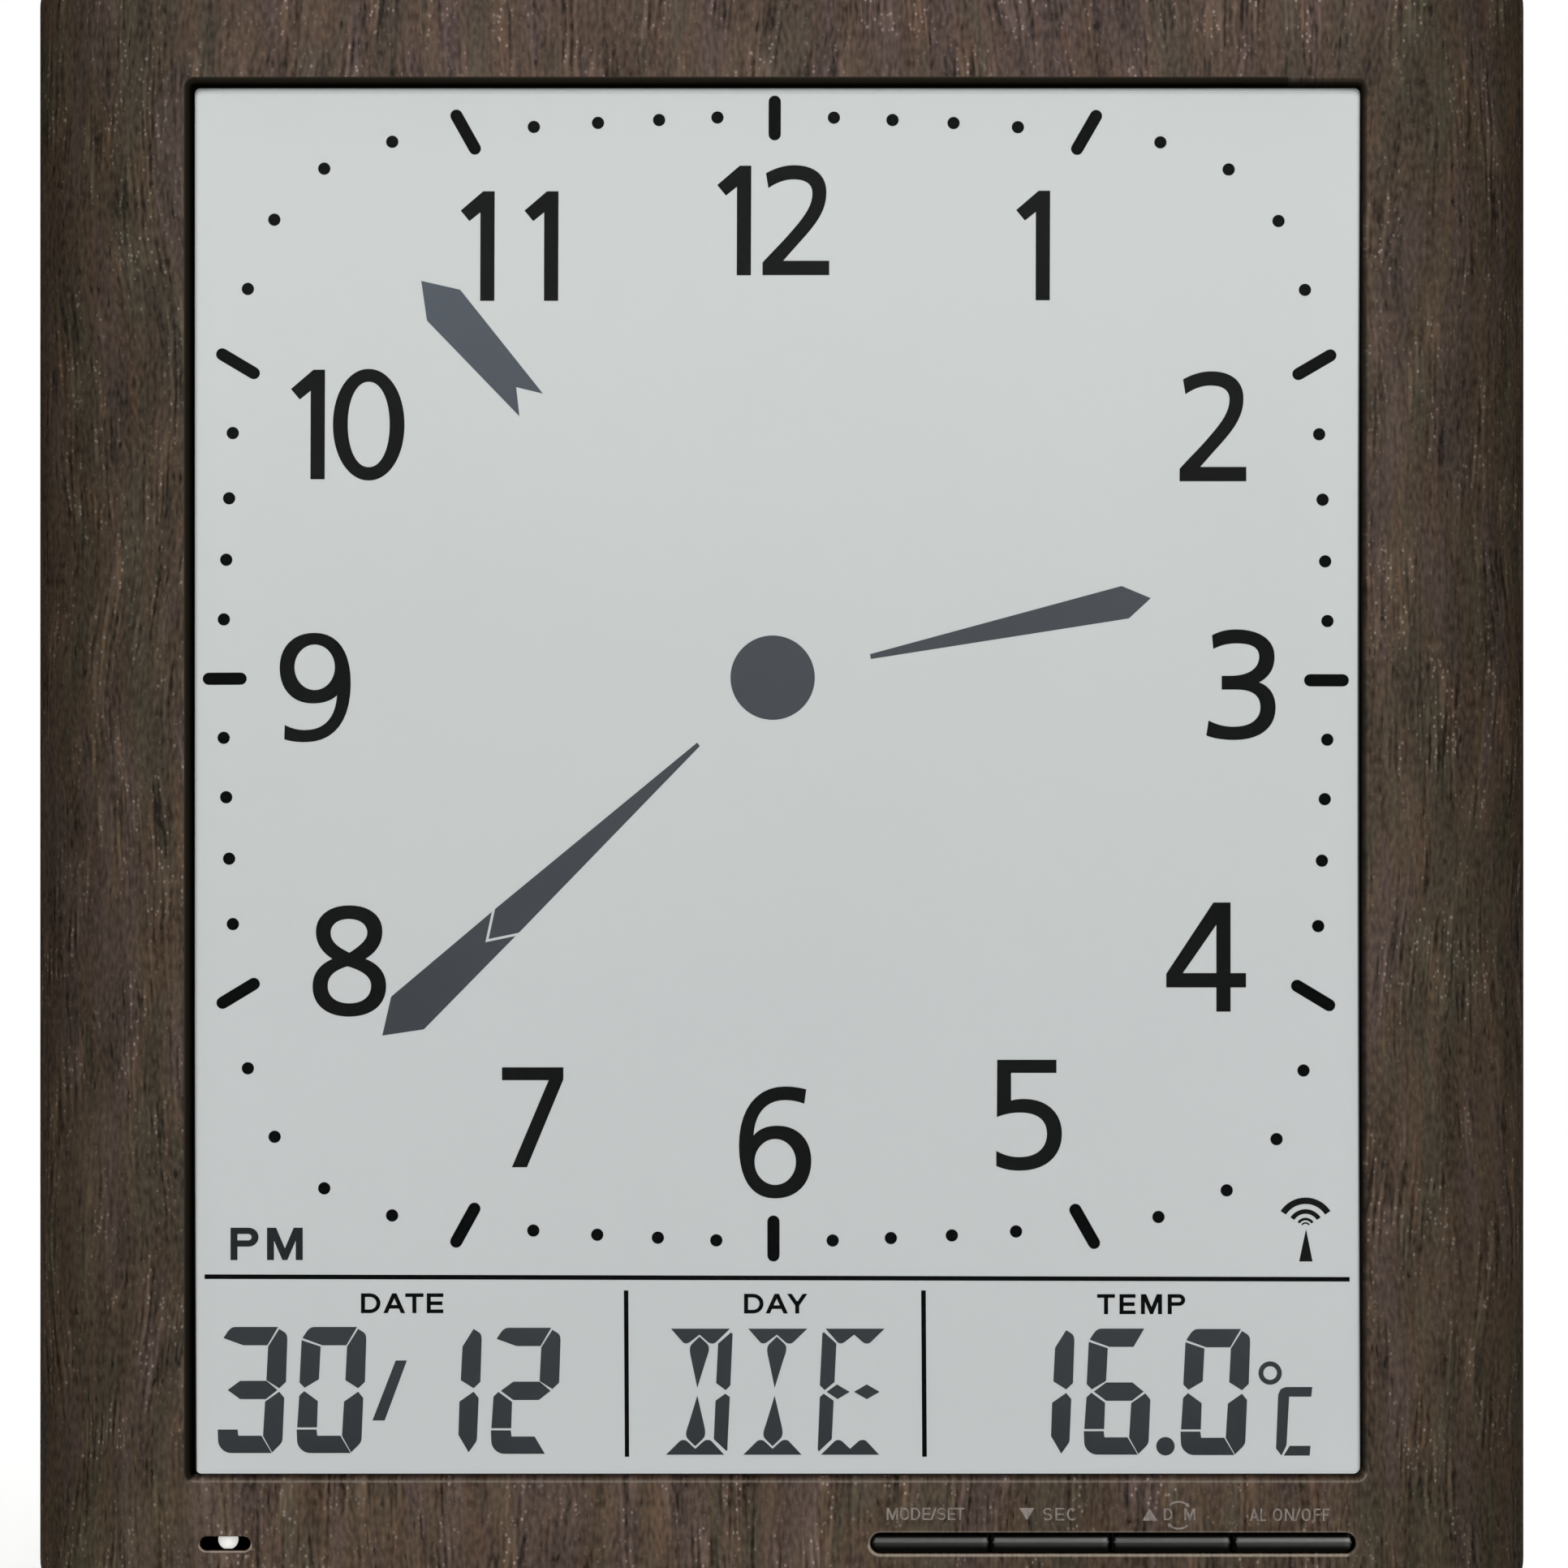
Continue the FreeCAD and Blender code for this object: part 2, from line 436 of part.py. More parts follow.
# seats of the two rear buttons
BUTTONS = {"wave": (58.0, -98.0, 3.0), "reset": (72.0, -98.0, 2.2)}
for name, (x, z, r) in BUTTONS.items():
    adds.append(cyl_y(x, z, r + 1.9, -3.2, -1.0))
    holes.append(cyl_y(x, z, r + 0.3, -4.0, 1.0))
    holes.append(cyl_y(x, z, r + 3.4, -0.6, 1.0))
# sound holes over the buzzer, vents for the sensor and the receiver
BUZZ = (-62.0, 36.0)
holes.append(cyl_y(BUZZ[0], BUZZ[1], 1.1, -3.0, 1.0))
for i in range(6):
    a = math.radians(60 * i)
    holes.append(cyl_y(BUZZ[0] + 5.0 * math.cos(a), BUZZ[1] + 5.0 * math.sin(a), 1.1, -3.0, 1.0))
for i in range(6):
    z = -72.0 - i * 5.0
    holes.append(plate((-84.0, -56.0, z - 0.9, z + 0.9), -3.0, 1.0, 0.899))
adds.append(cyl_y(BUZZ[0], BUZZ[1], 14.6, -4.4, -1.0).cut(cyl_y(BUZZ[0], BUZZ[1], 12.6, -6.0, -T_REAR)))
holes.append(cyl_y(BUZZ[0], BUZZ[1], 13.6, -5.0, -4.0))
# posts for the receiver board, seat ribs for the antenna
for x, z in ((46.0, 64.0), (66.0, 64.0), (46.0, 76.0), (66.0, 76.0)):
    adds.append(cyl_y(x, z, 1.8, -8.0, -1.0))
    adds.append(cyl_y(x, z, 0.9, -9.8, -7.0))
cover = fuse(cover, *adds)
cover = cover.cut(fuse(*holes)).cut(notch)
put("rear_cover", cover)
put("rear_cover_screws", Part.makeCompound(
    [screw(x, z, -7.0, 2.8, 2.0, 1.42, 10.0) for x, z in CASE_SCREWS]), clean=False)

# ---------------------------------------------------------------- battery bay contents
def cell(x_plus, z):
    """Size AA cell along X with its positive nub at x_plus, pointing to the nearer wall."""
    s = 1 if x_plus > 0 else -1
    nub = Part.makeCylinder(2.7, 1.2, Vector(x_plus, CELL_Y, z), Vector(-s, 0, 0))
    can = Part.makeCylinder(CELL_R, CELL_L - 1.0, Vector(x_plus - s * 1.0, CELL_Y, z), Vector(-s, 0, 0))
    can = can.makeFillet(0.6, [e for e in can.Edges if e.isClosed()])
    return fuse(can, nub)


T_PLATE = 0.4
BUMP = 1.2
x_tip = BAY[1] - T_PLATE - BUMP
put("battery_cell_upper", cell(x_tip, CELL_Z[0]))
put("battery_cell_lower", cell(-x_tip, CELL_Z[1]))


def contact(x_wall, z0, z1, bumps):
    """Sheet contact against the bay wall at x_wall, bumps at the given heights."""
    s = 1 if x_wall > 0 else -1
    a, b_ = sorted((x_wall, x_wall - s * T_PLATE))
    p = box(a, b_, BAY_FLOOR + 0.6, -4.4, z0, z1)
    for z in bumps:
        p = fuse(p, Part.makeCone(2.4, 1.4, BUMP, Vector(x_wall - s * T_PLATE, CELL_Y, z), Vector(-s, 0, 0)))
    return p


put("battery_link_plate", contact(BAY[1], 20.5, 48.5, [CELL_Z[0]]))
put("battery_negative_plate", contact(BAY[0], 35.6, 48.5, []))
put("battery_positive_plate", contact(BAY[0], 20.5, 33.4, [CELL_Z[1]]))


def spring(x_plate, s, z, r_wire=0.4, turns=4, per_turn=8):
    """Open coil from the plate to the cell's flat end, as tangent arcs."""
    length = 60.0 - 2 * T_PLATE - BUMP - CELL_L - 0.1 - 2 * r_wire
    r = 3.4 / math.cos(math.pi / per_turn)
    pts = []
    for i in range(turns * per_turn + 1):
        a = 2 * math.pi * i / per_turn
        pts.append((x_plate + s * (r_wire + 0.05 + (length - 0.1) * i / (turns * per_turn)),
                    CELL_Y + r * math.cos(a), z + r * math.sin(a)))
    return lead(pts, r_wire, "battery spring", 0.5)


put("battery_springs", Part.makeCompound([
    spring(BAY[0] + T_PLATE, 1, CELL_Z[0]), spring(BAY[1] - T_PLATE, -1, CELL_Z[1])]), clean=False)

# ---------------------------------------------------------------- battery door
door = plate(DOOR, DOOR_Y[0], DOOR_Y[1], 1.5)
door = door.makeFillet(0.4, [e for e in door.Edges if abs(e.BoundBox.YMin - DOOR_Y[1]) < 1e-6
                             and abs(e.BoundBox.YMax - DOOR_Y[1]) < 1e-6])
for z, s in ((BAY[3] - 0.3, -1), (BAY[2] + 0.3, 1)):
    a, b_ = sorted((z, z + s * 1.0))
    door = fuse(door, box(-5.0, 5.0, -5.6, DOOR_Y[0], a, b_))
for i in range(5):
    x = -4.8 + i * 2.4
    door = fuse(door, box(x - 0.5, x + 0.5, DOOR_Y[1] - 0.5, DOOR_Y[1] + 0.35, 41.0, 50.0))
put("battery_door", door)

# ---------------------------------------------------------------- fold-out foot
leg = fuse(box(lx0, lx1, LEG_Y - LEG_R, LEG_Y + LEG_R, lz0, lz1), cyl_x(LEG_Y, lz0, LEG_R, lx0, lx1)).removeSplitter()
tip = [e for e in leg.Edges if abs(e.BoundBox.ZMin - lz1) < 1e-6 and abs(e.BoundBox.ZMax - lz1) < 1e-6
       and e.BoundBox.XLength > 10]
leg = leg.makeFillet(0.8, tip)
corners = plate((lx0, lx1, lz0 - 5, lz1), LEG_Y - 3, LEG_Y + 3, 3.0, 0.5)
leg = leg.common(corners)
# panel sunk into the inner side, which lightens the foot and keeps its wall even
leg = leg.cut(box(lx0 + 4, -2.0, LEG_Y - 5, LEG_Y - 0.1, lz0 + 5, lz1 - 6))
leg = leg.cut(box(2.0, lx1 - 4, LEG_Y - 5, LEG_Y - 0.1, lz0 + 5, lz1 - 6))
leg = fuse(leg, cyl_x(LEG_Y, lz0, PIN_R, lx0 - 2.6, lx1 + 2.6))
put("stand_leg", leg)

# ---------------------------------------------------------------- rear buttons
for name, (x, z, r) in BUTTONS.items():
    housing, plunger = switch(x, z, PCB_BACK, 1)
    put("switch_" + name, housing)
    put("plunger_" + name, plunger)
    capb = cyl_y(x, z, r, -4.4, -0.9)
    end = [e for e in capb.Edges if e.isClosed() and abs(e.BoundBox.YMin + 0.9) < 1e-6]
    capb = capb.makeFillet(0.5, end)
    put(name + "_button", fuse(capb, cyl_y(x, z, r + 1.1, -4.4, -3.4), cyl_y(x, z, 1.3, PCB_BACK + 4.3, -4.0)))

# ---------------------------------------------------------------- receiver and antenna
ANT_Y, ANT_Z = -12.6, 70.0
rod = cyl_x(ANT_Y, ANT_Z, 4.0, -35.0, 35.0)
rod = rod.makeFillet(0.4, [e for e in rod.Edges if e.isClosed()])
put("antenna_rod", rod)
coil = cyl_x(ANT_Y, ANT_Z, 5.4, -11.0, 11.0).cut(cyl_x(ANT_Y, ANT_Z, 4.0, -12.0, 12.0))
for s in (1, -1):
    x0, x1 = sorted((s * 11.0, s * 12.4))
    coil = fuse(coil, cyl_x(ANT_Y, ANT_Z, 6.4, x0, x1).cut(cyl_x(ANT_Y, ANT_Z, 4.0, x0 - 1, x1 + 1)))
put("antenna_coil", coil)
cradle = box(-34.0, 34.0, -3.6, -T_REAR, 64.0, 76.0)
for s in (1, -1):
    x0, x1 = sorted((s * 24.0, s * 31.0))
    cradle = fuse(cradle, box(x0, x1, -14.4, -3.0, 64.0, 76.0))
cradle = cradle.cut(cyl_x(ANT_Y, ANT_Z, 4.0, -40.0, 40.0))
for s in (1, -1):
    x0, x1 = sorted((s * 24.0, s * 31.0))
    cradle = cradle.cut(box(x0 - 1, x1 + 1, -16.0, ANT_Y, ANT_Z - 4.0, ANT_Z + 4.0))
put("antenna_holder", cradle)

rx = plate((43.0, 69.0, 61.0, 79.0), -9.0, -8.0, 1.0)
rx = rx.cut(fuse(*[cyl_y(x, z, 1.0, -10, -7) for x, z in ((46.0, 64.0), (66.0, 64.0), (46.0, 76.0), (66.0, 76.0))]))
put("receiver_pcb", rx)
chip = box(52.0, 60.0, -10.6, -9.0, 67.5, 72.5)
for i in range(5):
    for s in (1, -1):
        z0, z1 = sorted((70.0 + s * 2.4, 70.0 + s * 3.7))
        chip = fuse(chip, box(52.7 + i * 1.5, 53.2 + i * 1.5, -9.3, -9.0, z0, z1),
                    box(52.7 + i * 1.5, 53.2 + i * 1.5, -9.9, -9.2, *sorted((70.0 + s * 2.4, 70.0 + s * 2.9))))
put("receiver_chip", chip)

# ---------------------------------------------------------------- buzzer
put("buzzer_plate", cyl_y(BUZZ[0], BUZZ[1], 13.5, -4.25, -4.0))
put("buzzer_ceramic", cyl_y(BUZZ[0], BUZZ[1], 10.0, -4.45, -4.25))

# ---------------------------------------------------------------- leads inside the case
YW = -12.0
Y_ON = PCB_BACK + 4.0
put("antenna_leads", Part.makeCompound([
    lead([(12.4 + 0.3, ANT_Y + 3.0, ANT_Z - 5.6 + dz), (18.0, ANT_Y + 3.0, ANT_Z - 6.6 + dz),
          (26.0, ANT_Y - 3.2, ANT_Z - 8.4 + dz), (38.0, -15.0, ANT_Z - 6.0 + dz), (45.5, -14.0, 68.0 + dz),
          (47.5, -9.0, 69.0 + dz)], 0.3, "antenna lead")
    for dz in (-1.0, 0.6)]), clean=False)
put("battery_wire_red", lead([(-31.4, YW, 26.8), (-40.0, YW, 26.8), (-47.0, YW, 18.0), (-49.0, YW, -2.0),
                              (-46.0, YW, -30.0), (-48.0, YW, -58.0), (-52.0, Y_ON, -82.0),
                              (-56.5, Y_ON + 1.4, -97.0), (-57.0, Y_ON, -102.5), (-57.0, PCB_BACK, -103.0)],
                             0.65, "battery wire red"), clean=False)
put("battery_wire_black", lead([(-31.4, YW, 42.2), (-42.0, YW, 42.2), (-51.0, YW, 32.0), (-52.5, YW, 8.0),
                                (-50.0, YW, -20.0), (-52.0, YW, -50.0), (-57.5, Y_ON, -78.0),
                                (-62.0, Y_ON + 1.4, -92.0), (-63.0, Y_ON, -98.0), (-63.0, PCB_BACK, -98.5)],
                               0.65, "battery wire black"), clean=False)
put("buzzer_wires", Part.makeCompound([
    lead([(-62.0 + dx, -4.46 if dx < 3 else -4.26, 33.0 - dx), (-62.0 + dx, -9.0, 32.6 - dx), (-60.0 + dx, -9.6, 18.0),
          (-61.0 + dx, -9.6, -10.0), (-62.0 + dx, -9.6, -44.0), (-66.0 + dx, -9.8, -72.0),
          (-71.0 + dx, -9.8, -90.0), (-72.0 + dx, -10.6, -95.5), (-72.0 + dx, PCB_BACK, -96.0)], 0.5, "buzzer wire")
    for dx in (0.0, 2.2)]), clean=False)
put("receiver_cable", Part.makeCompound([
    lead([(64.0 - dx, -9.0, 63.0), (64.0 - dx, -13.4, 62.6), (65.0 - dx, -14.2, 52.0), (63.0 - dx, -13.4, 22.0),
          (65.0 - dx, -13.0, -12.0), (61.0 - dx, -13.0, -46.0), (52.0 - dx, -12.2, -72.0), (46.0 - dx, -11.4, -88.0),
          (45.0 - dx, -12.2, -94.5), (45.0 - dx, PCB_BACK, -95.0)], 0.5, "receiver cable")
    for dx in (0.0, 1.3, 2.6, 3.9)]), clean=False)

total = Part.makeCompound(list(done.values())).BoundBox
print("nodes", len(done), "box X %.2f..%.2f Y %.2f..%.2f Z %.2f..%.2f" % (
    total.XMin, total.XMax, total.YMin, total.YMax, total.ZMin, total.ZMax))
for n, s in done.items():
    print("%-24s solids %d valid %s volume %.1f" % (n, len(s.Solids), s.isValid(), s.Volume))
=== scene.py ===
import math

import bpy
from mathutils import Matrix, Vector
from mathutils.geometry import delaunay_2d_cdt


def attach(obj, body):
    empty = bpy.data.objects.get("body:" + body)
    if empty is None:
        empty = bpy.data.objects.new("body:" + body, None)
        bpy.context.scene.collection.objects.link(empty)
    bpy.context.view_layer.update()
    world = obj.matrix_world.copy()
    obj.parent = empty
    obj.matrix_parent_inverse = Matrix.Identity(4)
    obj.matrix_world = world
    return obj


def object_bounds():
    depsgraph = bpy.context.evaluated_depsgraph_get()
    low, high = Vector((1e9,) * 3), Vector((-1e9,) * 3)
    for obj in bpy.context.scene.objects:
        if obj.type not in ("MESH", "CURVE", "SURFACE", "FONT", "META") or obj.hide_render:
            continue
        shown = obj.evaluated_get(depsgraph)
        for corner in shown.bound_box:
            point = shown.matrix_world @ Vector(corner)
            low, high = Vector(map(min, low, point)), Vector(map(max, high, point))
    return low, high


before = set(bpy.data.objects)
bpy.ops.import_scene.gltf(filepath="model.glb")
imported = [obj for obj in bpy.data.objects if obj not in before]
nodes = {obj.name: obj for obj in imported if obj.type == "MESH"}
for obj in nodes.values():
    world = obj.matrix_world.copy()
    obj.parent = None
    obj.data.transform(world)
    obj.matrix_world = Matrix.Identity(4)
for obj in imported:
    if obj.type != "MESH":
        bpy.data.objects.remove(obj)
cad_low, cad_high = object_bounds()
scene = bpy.context.scene

# ---------------------------------------------------------------- where things are, in millimetres
FACE_Y = -28.0           # front of the frame
GLASS_Y = -23.8          # front of the liquid crystal cell's front film
MID_Z = -92.0            # height of the frame's centre under the keyhole
HALF_W, HALF_H, CORNER = 103.1, 118.5, 11.0
VIEW_AT = (0.303, -1028.0, MID_Z - 0.112)
PITCH = 0.11214          # one pixel of the 1932 x 1932 frame, on the front plane
INK = 0.04               # how far print and segments stand off what carries them

# ---------------------------------------------------------------- camera
camera_data = bpy.data.cameras.new("camera")
camera_data.sensor_width = 36.0
camera_data.lens = 36.0 * 1000.0 / (1932 * PITCH)
camera_data.clip_start = 0.05
camera_data.clip_end = 20.0
camera = bpy.data.objects.new("camera", camera_data)
camera.location = [c / 1000 for c in VIEW_AT]
camera.rotation_euler = (math.radians(90), 0, 0)
scene.collection.objects.link(camera)
scene.camera = camera


# ---------------------------------------------------------------- light
def softbox(name, at, to, w, h, watts, tint=(1, 1, 1)):
    data = bpy.data.lights.new(name, "AREA")
    data.shape = "RECTANGLE"
    data.size, data.size_y = w, h
    data.energy = watts
    data.color = tint
    lamp = bpy.data.objects.new(name, data)
    lamp.location = at
    lamp.rotation_euler = (Vector(to) - Vector(at)).to_track_quat("-Z", "Y").to_euler()
    scene.collection.objects.link(lamp)
    return lamp


CENTRE = (0.0, -0.02, MID_Z / 1000)
softbox("light_front", (0.0, -1.75, 0.30), CENTRE, 0.75, 0.6, 21.5)
softbox("light_top", (0.0, -0.35, 1.35), (0.0, -0.1, -0.2), 1.3, 0.9, 3.0)
softbox("light_floor", (0.0, 0.75, 1.15), (0.0, 0.72, -0.2), 1.3, 0.8, 18.5)
softbox("light_back", (0.5, 1.4, 0.75), CENTRE, 1.1, 0.9, 10.0)

world = bpy.data.worlds.new("studio")
world.use_nodes = True
wt = world.node_tree
wt.nodes.clear()
seen = wt.nodes.new("ShaderNodeBackground")
seen.inputs["Color"].default_value = (1, 1, 1, 1)
seen.inputs["Strength"].default_value = 1.0
fill = wt.nodes.new("ShaderNodeBackground")
fill.inputs["Color"].default_value = (1, 1, 1, 1)
fill.inputs["Strength"].default_value = 0.08
ray = wt.nodes.new("ShaderNodeLightPath")
pick = wt.nodes.new("ShaderNodeMixShader")
world_out = wt.nodes.new("ShaderNodeOutputWorld")
wt.links.new(ray.outputs["Is Camera Ray"], pick.inputs[0])
wt.links.new(fill.outputs[0], pick.inputs[1])
wt.links.new(seen.outputs[0], pick.inputs[2])
wt.links.new(pick.outputs[0], world_out.inputs[0])
scene.world = world
scene.view_settings.view_transform = "Standard"
scene.view_settings.look = "None"


# ---------------------------------------------------------------- material graphs
def srgb(r, g, b):
    f = lambda c: c / 255 / 12.92 if c <= 10.31 else ((c / 255 + 0.055) / 1.055) ** 2.4
    return (f(r), f(g), f(b), 1.0)


class Graph:
    """A node material whose patterns are laid out in millimetres of the object's own frame."""

    def __init__(self, name, rough=0.5, **fixed):
        self.mat = bpy.data.materials.new(name)
        self.mat.use_nodes = True
        self.tree = self.mat.node_tree
        self.tree.nodes.clear()
        self.shader = self.node("ShaderNodeBsdfPrincipled")
        out = self.node("ShaderNodeOutputMaterial")
        self.tree.links.new(self.shader.outputs[0], out.inputs[0])
        self.shader.inputs["Roughness"].default_value = rough
        for key, value in fixed.items():
            self.shader.inputs[key.replace("_", " ")].default_value = value
        self.where = self.node("ShaderNodeTexCoord")
        mm = self.node("ShaderNodeVectorMath", operation="SCALE")
        mm.inputs["Scale"].default_value = 1000.0
        self.tree.links.new(self.where.outputs["Object"], mm.inputs[0])
        self.mm = mm.outputs[0]
        self.x, self.y, self.z = self.split(self.mm)

    def node(self, kind, **props):
        n = self.tree.nodes.new(kind)
        for key, value in props.items():
            setattr(n, key, value)
        return n

    def feed(self, socket, value):
        if isinstance(value, bpy.types.NodeSocket):
            self.tree.links.new(value, socket)
        else:
            socket.default_value = value

    def split(self, v):
        n = self.node("ShaderNodeSeparateXYZ")
        self.feed(n.inputs[0], v)
        return n.outputs[0], n.outputs[1], n.outputs[2]

    def vec(self, x, y, z=0.0):
        n = self.node("ShaderNodeCombineXYZ")
        for s, v in zip(n.inputs, (x, y, z)):
            self.feed(s, v)
        return n.outputs[0]

    def m(self, op, a, b=0.0, c=0.0):
        n = self.node("ShaderNodeMath", operation=op)
        for s, v in zip(n.inputs, (a, b, c)):
            self.feed(s, v)
        return n.outputs[0]

    def scaled(self, v, sx, sy, sz=1.0):
        n = self.node("ShaderNodeVectorMath", operation="MULTIPLY")
        self.feed(n.inputs[0], v)
        n.inputs[1].default_value = (sx, sy, sz)
        return n.outputs[0]

    def noise(self, v, scale=1.0, detail=2.0, rough=0.5, distort=0.0, out="Fac"):
        n = self.node("ShaderNodeTexNoise")
        self.feed(n.inputs["Vector"], v)
        n.inputs["Scale"].default_value = scale
        n.inputs["Detail"].default_value = detail
        n.inputs["Roughness"].default_value = rough
        n.inputs["Distortion"].default_value = distort
        return n.outputs[out]

    def cells(self, v, scale=1.0, feature="F1", out="Distance", jitter=1.0):
        n = self.node("ShaderNodeTexVoronoi", feature=feature)
        self.feed(n.inputs["Vector"], v)
        n.inputs["Scale"].default_value = scale
        n.inputs["Randomness"].default_value = jitter
        return n.outputs[out]

    def span(self, v, a, b, lo=0.0, hi=1.0, kind="SMOOTHSTEP"):
        n = self.node("ShaderNodeMapRange", interpolation_type=kind, clamp=True)
        for s, value in zip(n.inputs, (v, a, b, lo, hi)):
            self.feed(s, value)
        return n.outputs[0]

    def mix(self, f, a, b, blend="MIX"):
        n = self.node("ShaderNodeMix", data_type="RGBA", blend_type=blend)
        self.feed(n.inputs[0], f)
        self.feed(n.inputs[6], a)
        self.feed(n.inputs[7], b)
        return n.outputs[2]

    def ramp(self, f, *stops):
        n = self.node("ShaderNodeValToRGB")
        e = n.color_ramp.elements
        while len(e) < len(stops):
            e.new(0.5)
        for k, (at, colour) in enumerate(stops):
            e[k].position = at
            e[k].color = colour
        self.feed(n.inputs[0], f)
        return n.outputs[0]

    def bump(self, height, depth_mm, after=None):
        n = self.node("ShaderNodeBump")
        n.inputs["Strength"].default_value = 1.0
        n.inputs["Distance"].default_value = depth_mm / 1000
        self.feed(n.inputs["Height"], height)
        if after is not None:
            self.feed(n.inputs["Normal"], after)
        return n.outputs[0]

    def colour(self, value):
        self.feed(self.shader.inputs["Base Color"], value)

    def rough(self, value):
        self.feed(self.shader.inputs["Roughness"], value)

    def normal(self, value):
        self.feed(self.shader.inputs["Normal"], value)
        if self.shader.inputs["Coat Weight"].is_linked:
            self.feed(self.shader.inputs["Coat Normal"], value)


# ---------------------------------------------------------------- wood print of the frame
def wood_print():
    """Dark wood-grain film, its grain upright all over, wrapped over the sides and a little way
    into the window; bare black plastic on the inside and in the slots."""
    g = Graph("wood_print_film", Specular_IOR_Level=0.0, Coat_Roughness=0.42)
    nx, ny, nz = g.split(g.where.outputs["Normal"])
    zc = g.m("SUBTRACT", g.z, MID_Z)
    behind = g.m("ADD", g.y, 28.0)
    nx2, nz2 = g.m("MULTIPLY", nx, nx), g.m("MULTIPLY", nz, nz)
    w = g.m("DIVIDE", nx2, g.m("ADD", g.m("ADD", nx2, nz2), 1e-4))
    u0 = g.m("MULTIPLY_ADD", g.m("MULTIPLY", g.m("SIGN", g.x), behind), w, g.x)
    v0 = g.m("MULTIPLY_ADD", g.m("MULTIPLY", g.m("SIGN", zc), behind), g.m("SUBTRACT", 1.0, w), zc)
    at = g.vec(u0, v0)

    # the lines wander: a slow lean over some centimetres and a small tremble
    lean = g.m("SUBTRACT", g.noise(g.scaled(at, 1 / 34, 1 / 52), 1.0, 1.0), 0.5)
    shake = g.m("SUBTRACT", g.noise(g.scaled(at, 1 / 5, 1 / 9), 1.0, 1.0), 0.5)
    u = g.m("ADD", g.m("MULTIPLY_ADD", lean, 10.0, u0), g.m("MULTIPLY", shake, 0.6))
    grain = lambda du, dv, seed, detail=0.0, rough=0.5: g.noise(
        g.vec(g.m("MULTIPLY", u, 1 / du), g.m("MULTIPLY", v0, 1 / dv), seed), 1.0, detail, rough)
    signed = lambda n, k: g.m("MULTIPLY", g.m("SUBTRACT", n, 0.5), k)

    # soft streaks of three browns, a few millimetres wide
    broad = grain(11.0, 90.0, 3.1, 1.0)
    patch = grain(2.9, 21.0, 5.3, 2.0, 0.55)
    hue = grain(4.2, 30.0, 11.7, 1.5)
    rust = grain(3.0, 16.0, 47.2, 1.0)
    c = g.mix(g.span(hue, 0.48, 0.62), srgb(70, 58, 46), srgb(69, 58, 51))
    c = g.mix(g.span(hue, 0.49, 0.36), c, srgb(64, 57, 46))
    c = g.mix(g.span(rust, 0.56, 0.74, 0.0, 0.5), c, srgb(76, 59, 45))

    # within loose clusters run pale and dark lines, broken into dashes and beads; the beads are pale flecks that are
    # also brightened as a painted highlight on raised pores
    cluster = g.span(grain(4.4, 17.0, 23.0, 1.0), 0.44, 0.62)
    lines = grain(0.60, 8.5, 29.0)
    dashes = grain(0.50, 2.4, 31.0)
    still = g.m("MULTIPLY_ADD", lean, 3.0, u0)
    small = lambda du, dv, seed: g.noise(g.vec(g.m("MULTIPLY", still, 1 / du), g.m("MULTIPLY", v0, 1 / dv), seed), 1.0, 0.0)
    beads = g.cells(g.vec(g.m("MULTIPLY", still, 1 / 0.80), g.m("MULTIPLY", v0, 1 / 0.95), 37.0), 1.0)
    speck = small(0.50, 1.3, 41.0)
    pale = g.span(lines, 0.53, 0.72)
    dark = g.span(lines, 0.47, 0.28)
    pits = g.m("MULTIPLY", g.span(dashes, 0.34, 0.20), g.span(grain(6.0, 24.0, 43.0, 1.0), 0.44, 0.58))
    fleck_glints = g.m("MULTIPLY", g.span(beads, 0.34, 0.12), g.m("MULTIPLY_ADD", g.m("MULTIPLY", cluster, g.span(lines, 0.40, 0.58)), 0.85, 0.15))

    f = g.m("ADD", 1.0, signed(broad, 0.5))
    f = g.m("ADD", f, signed(patch, 1.3))
    f = g.m("ADD", f, signed(speck, 1.1))
    f = g.m("ADD", f, g.m("MULTIPLY", g.m("MULTIPLY", pale, cluster), 0.65))
    f = g.m("SUBTRACT", f, g.m("MULTIPLY", g.m("MULTIPLY", dark, g.m("MULTIPLY_ADD", cluster, 0.7, 0.3)), 0.55))
    f = g.m("SUBTRACT", f, g.m("MULTIPLY", pits, 0.55))
    # painted highlight: the flecks are lifted brighter here and tinted pale grey below
    f = g.m("ADD", f, g.m("MULTIPLY", fleck_glints, 2.0))
    f = g.m("MAXIMUM", f, 0.22)
    c = g.mix(g.m("MULTIPLY", fleck_glints, 0.8), c, srgb(70, 66, 62))
    warm = g.mix(g.span(g.m("ABSOLUTE", g.x), 88.0, 72.0), srgb(255, 255, 255), (1.09, 1.02, 1.10, 1.0))
    c = g.mix(1.0, g.mix(1.0, c, g.m("MULTIPLY", f, 1.14), "MULTIPLY"), warm, "MULTIPLY")
    # below the window it is a little greener, and paler towards the left
    foot = g.mix(g.span(g.x, 12.0, 38.0), (1.10, 1.145, 1.085, 1.0), (0.94, 0.98, 0.93, 1.0))
    c = g.mix(g.span(zc, -95.5, -98.0), c, g.mix(1.0, c, foot, "MULTIPLY"))

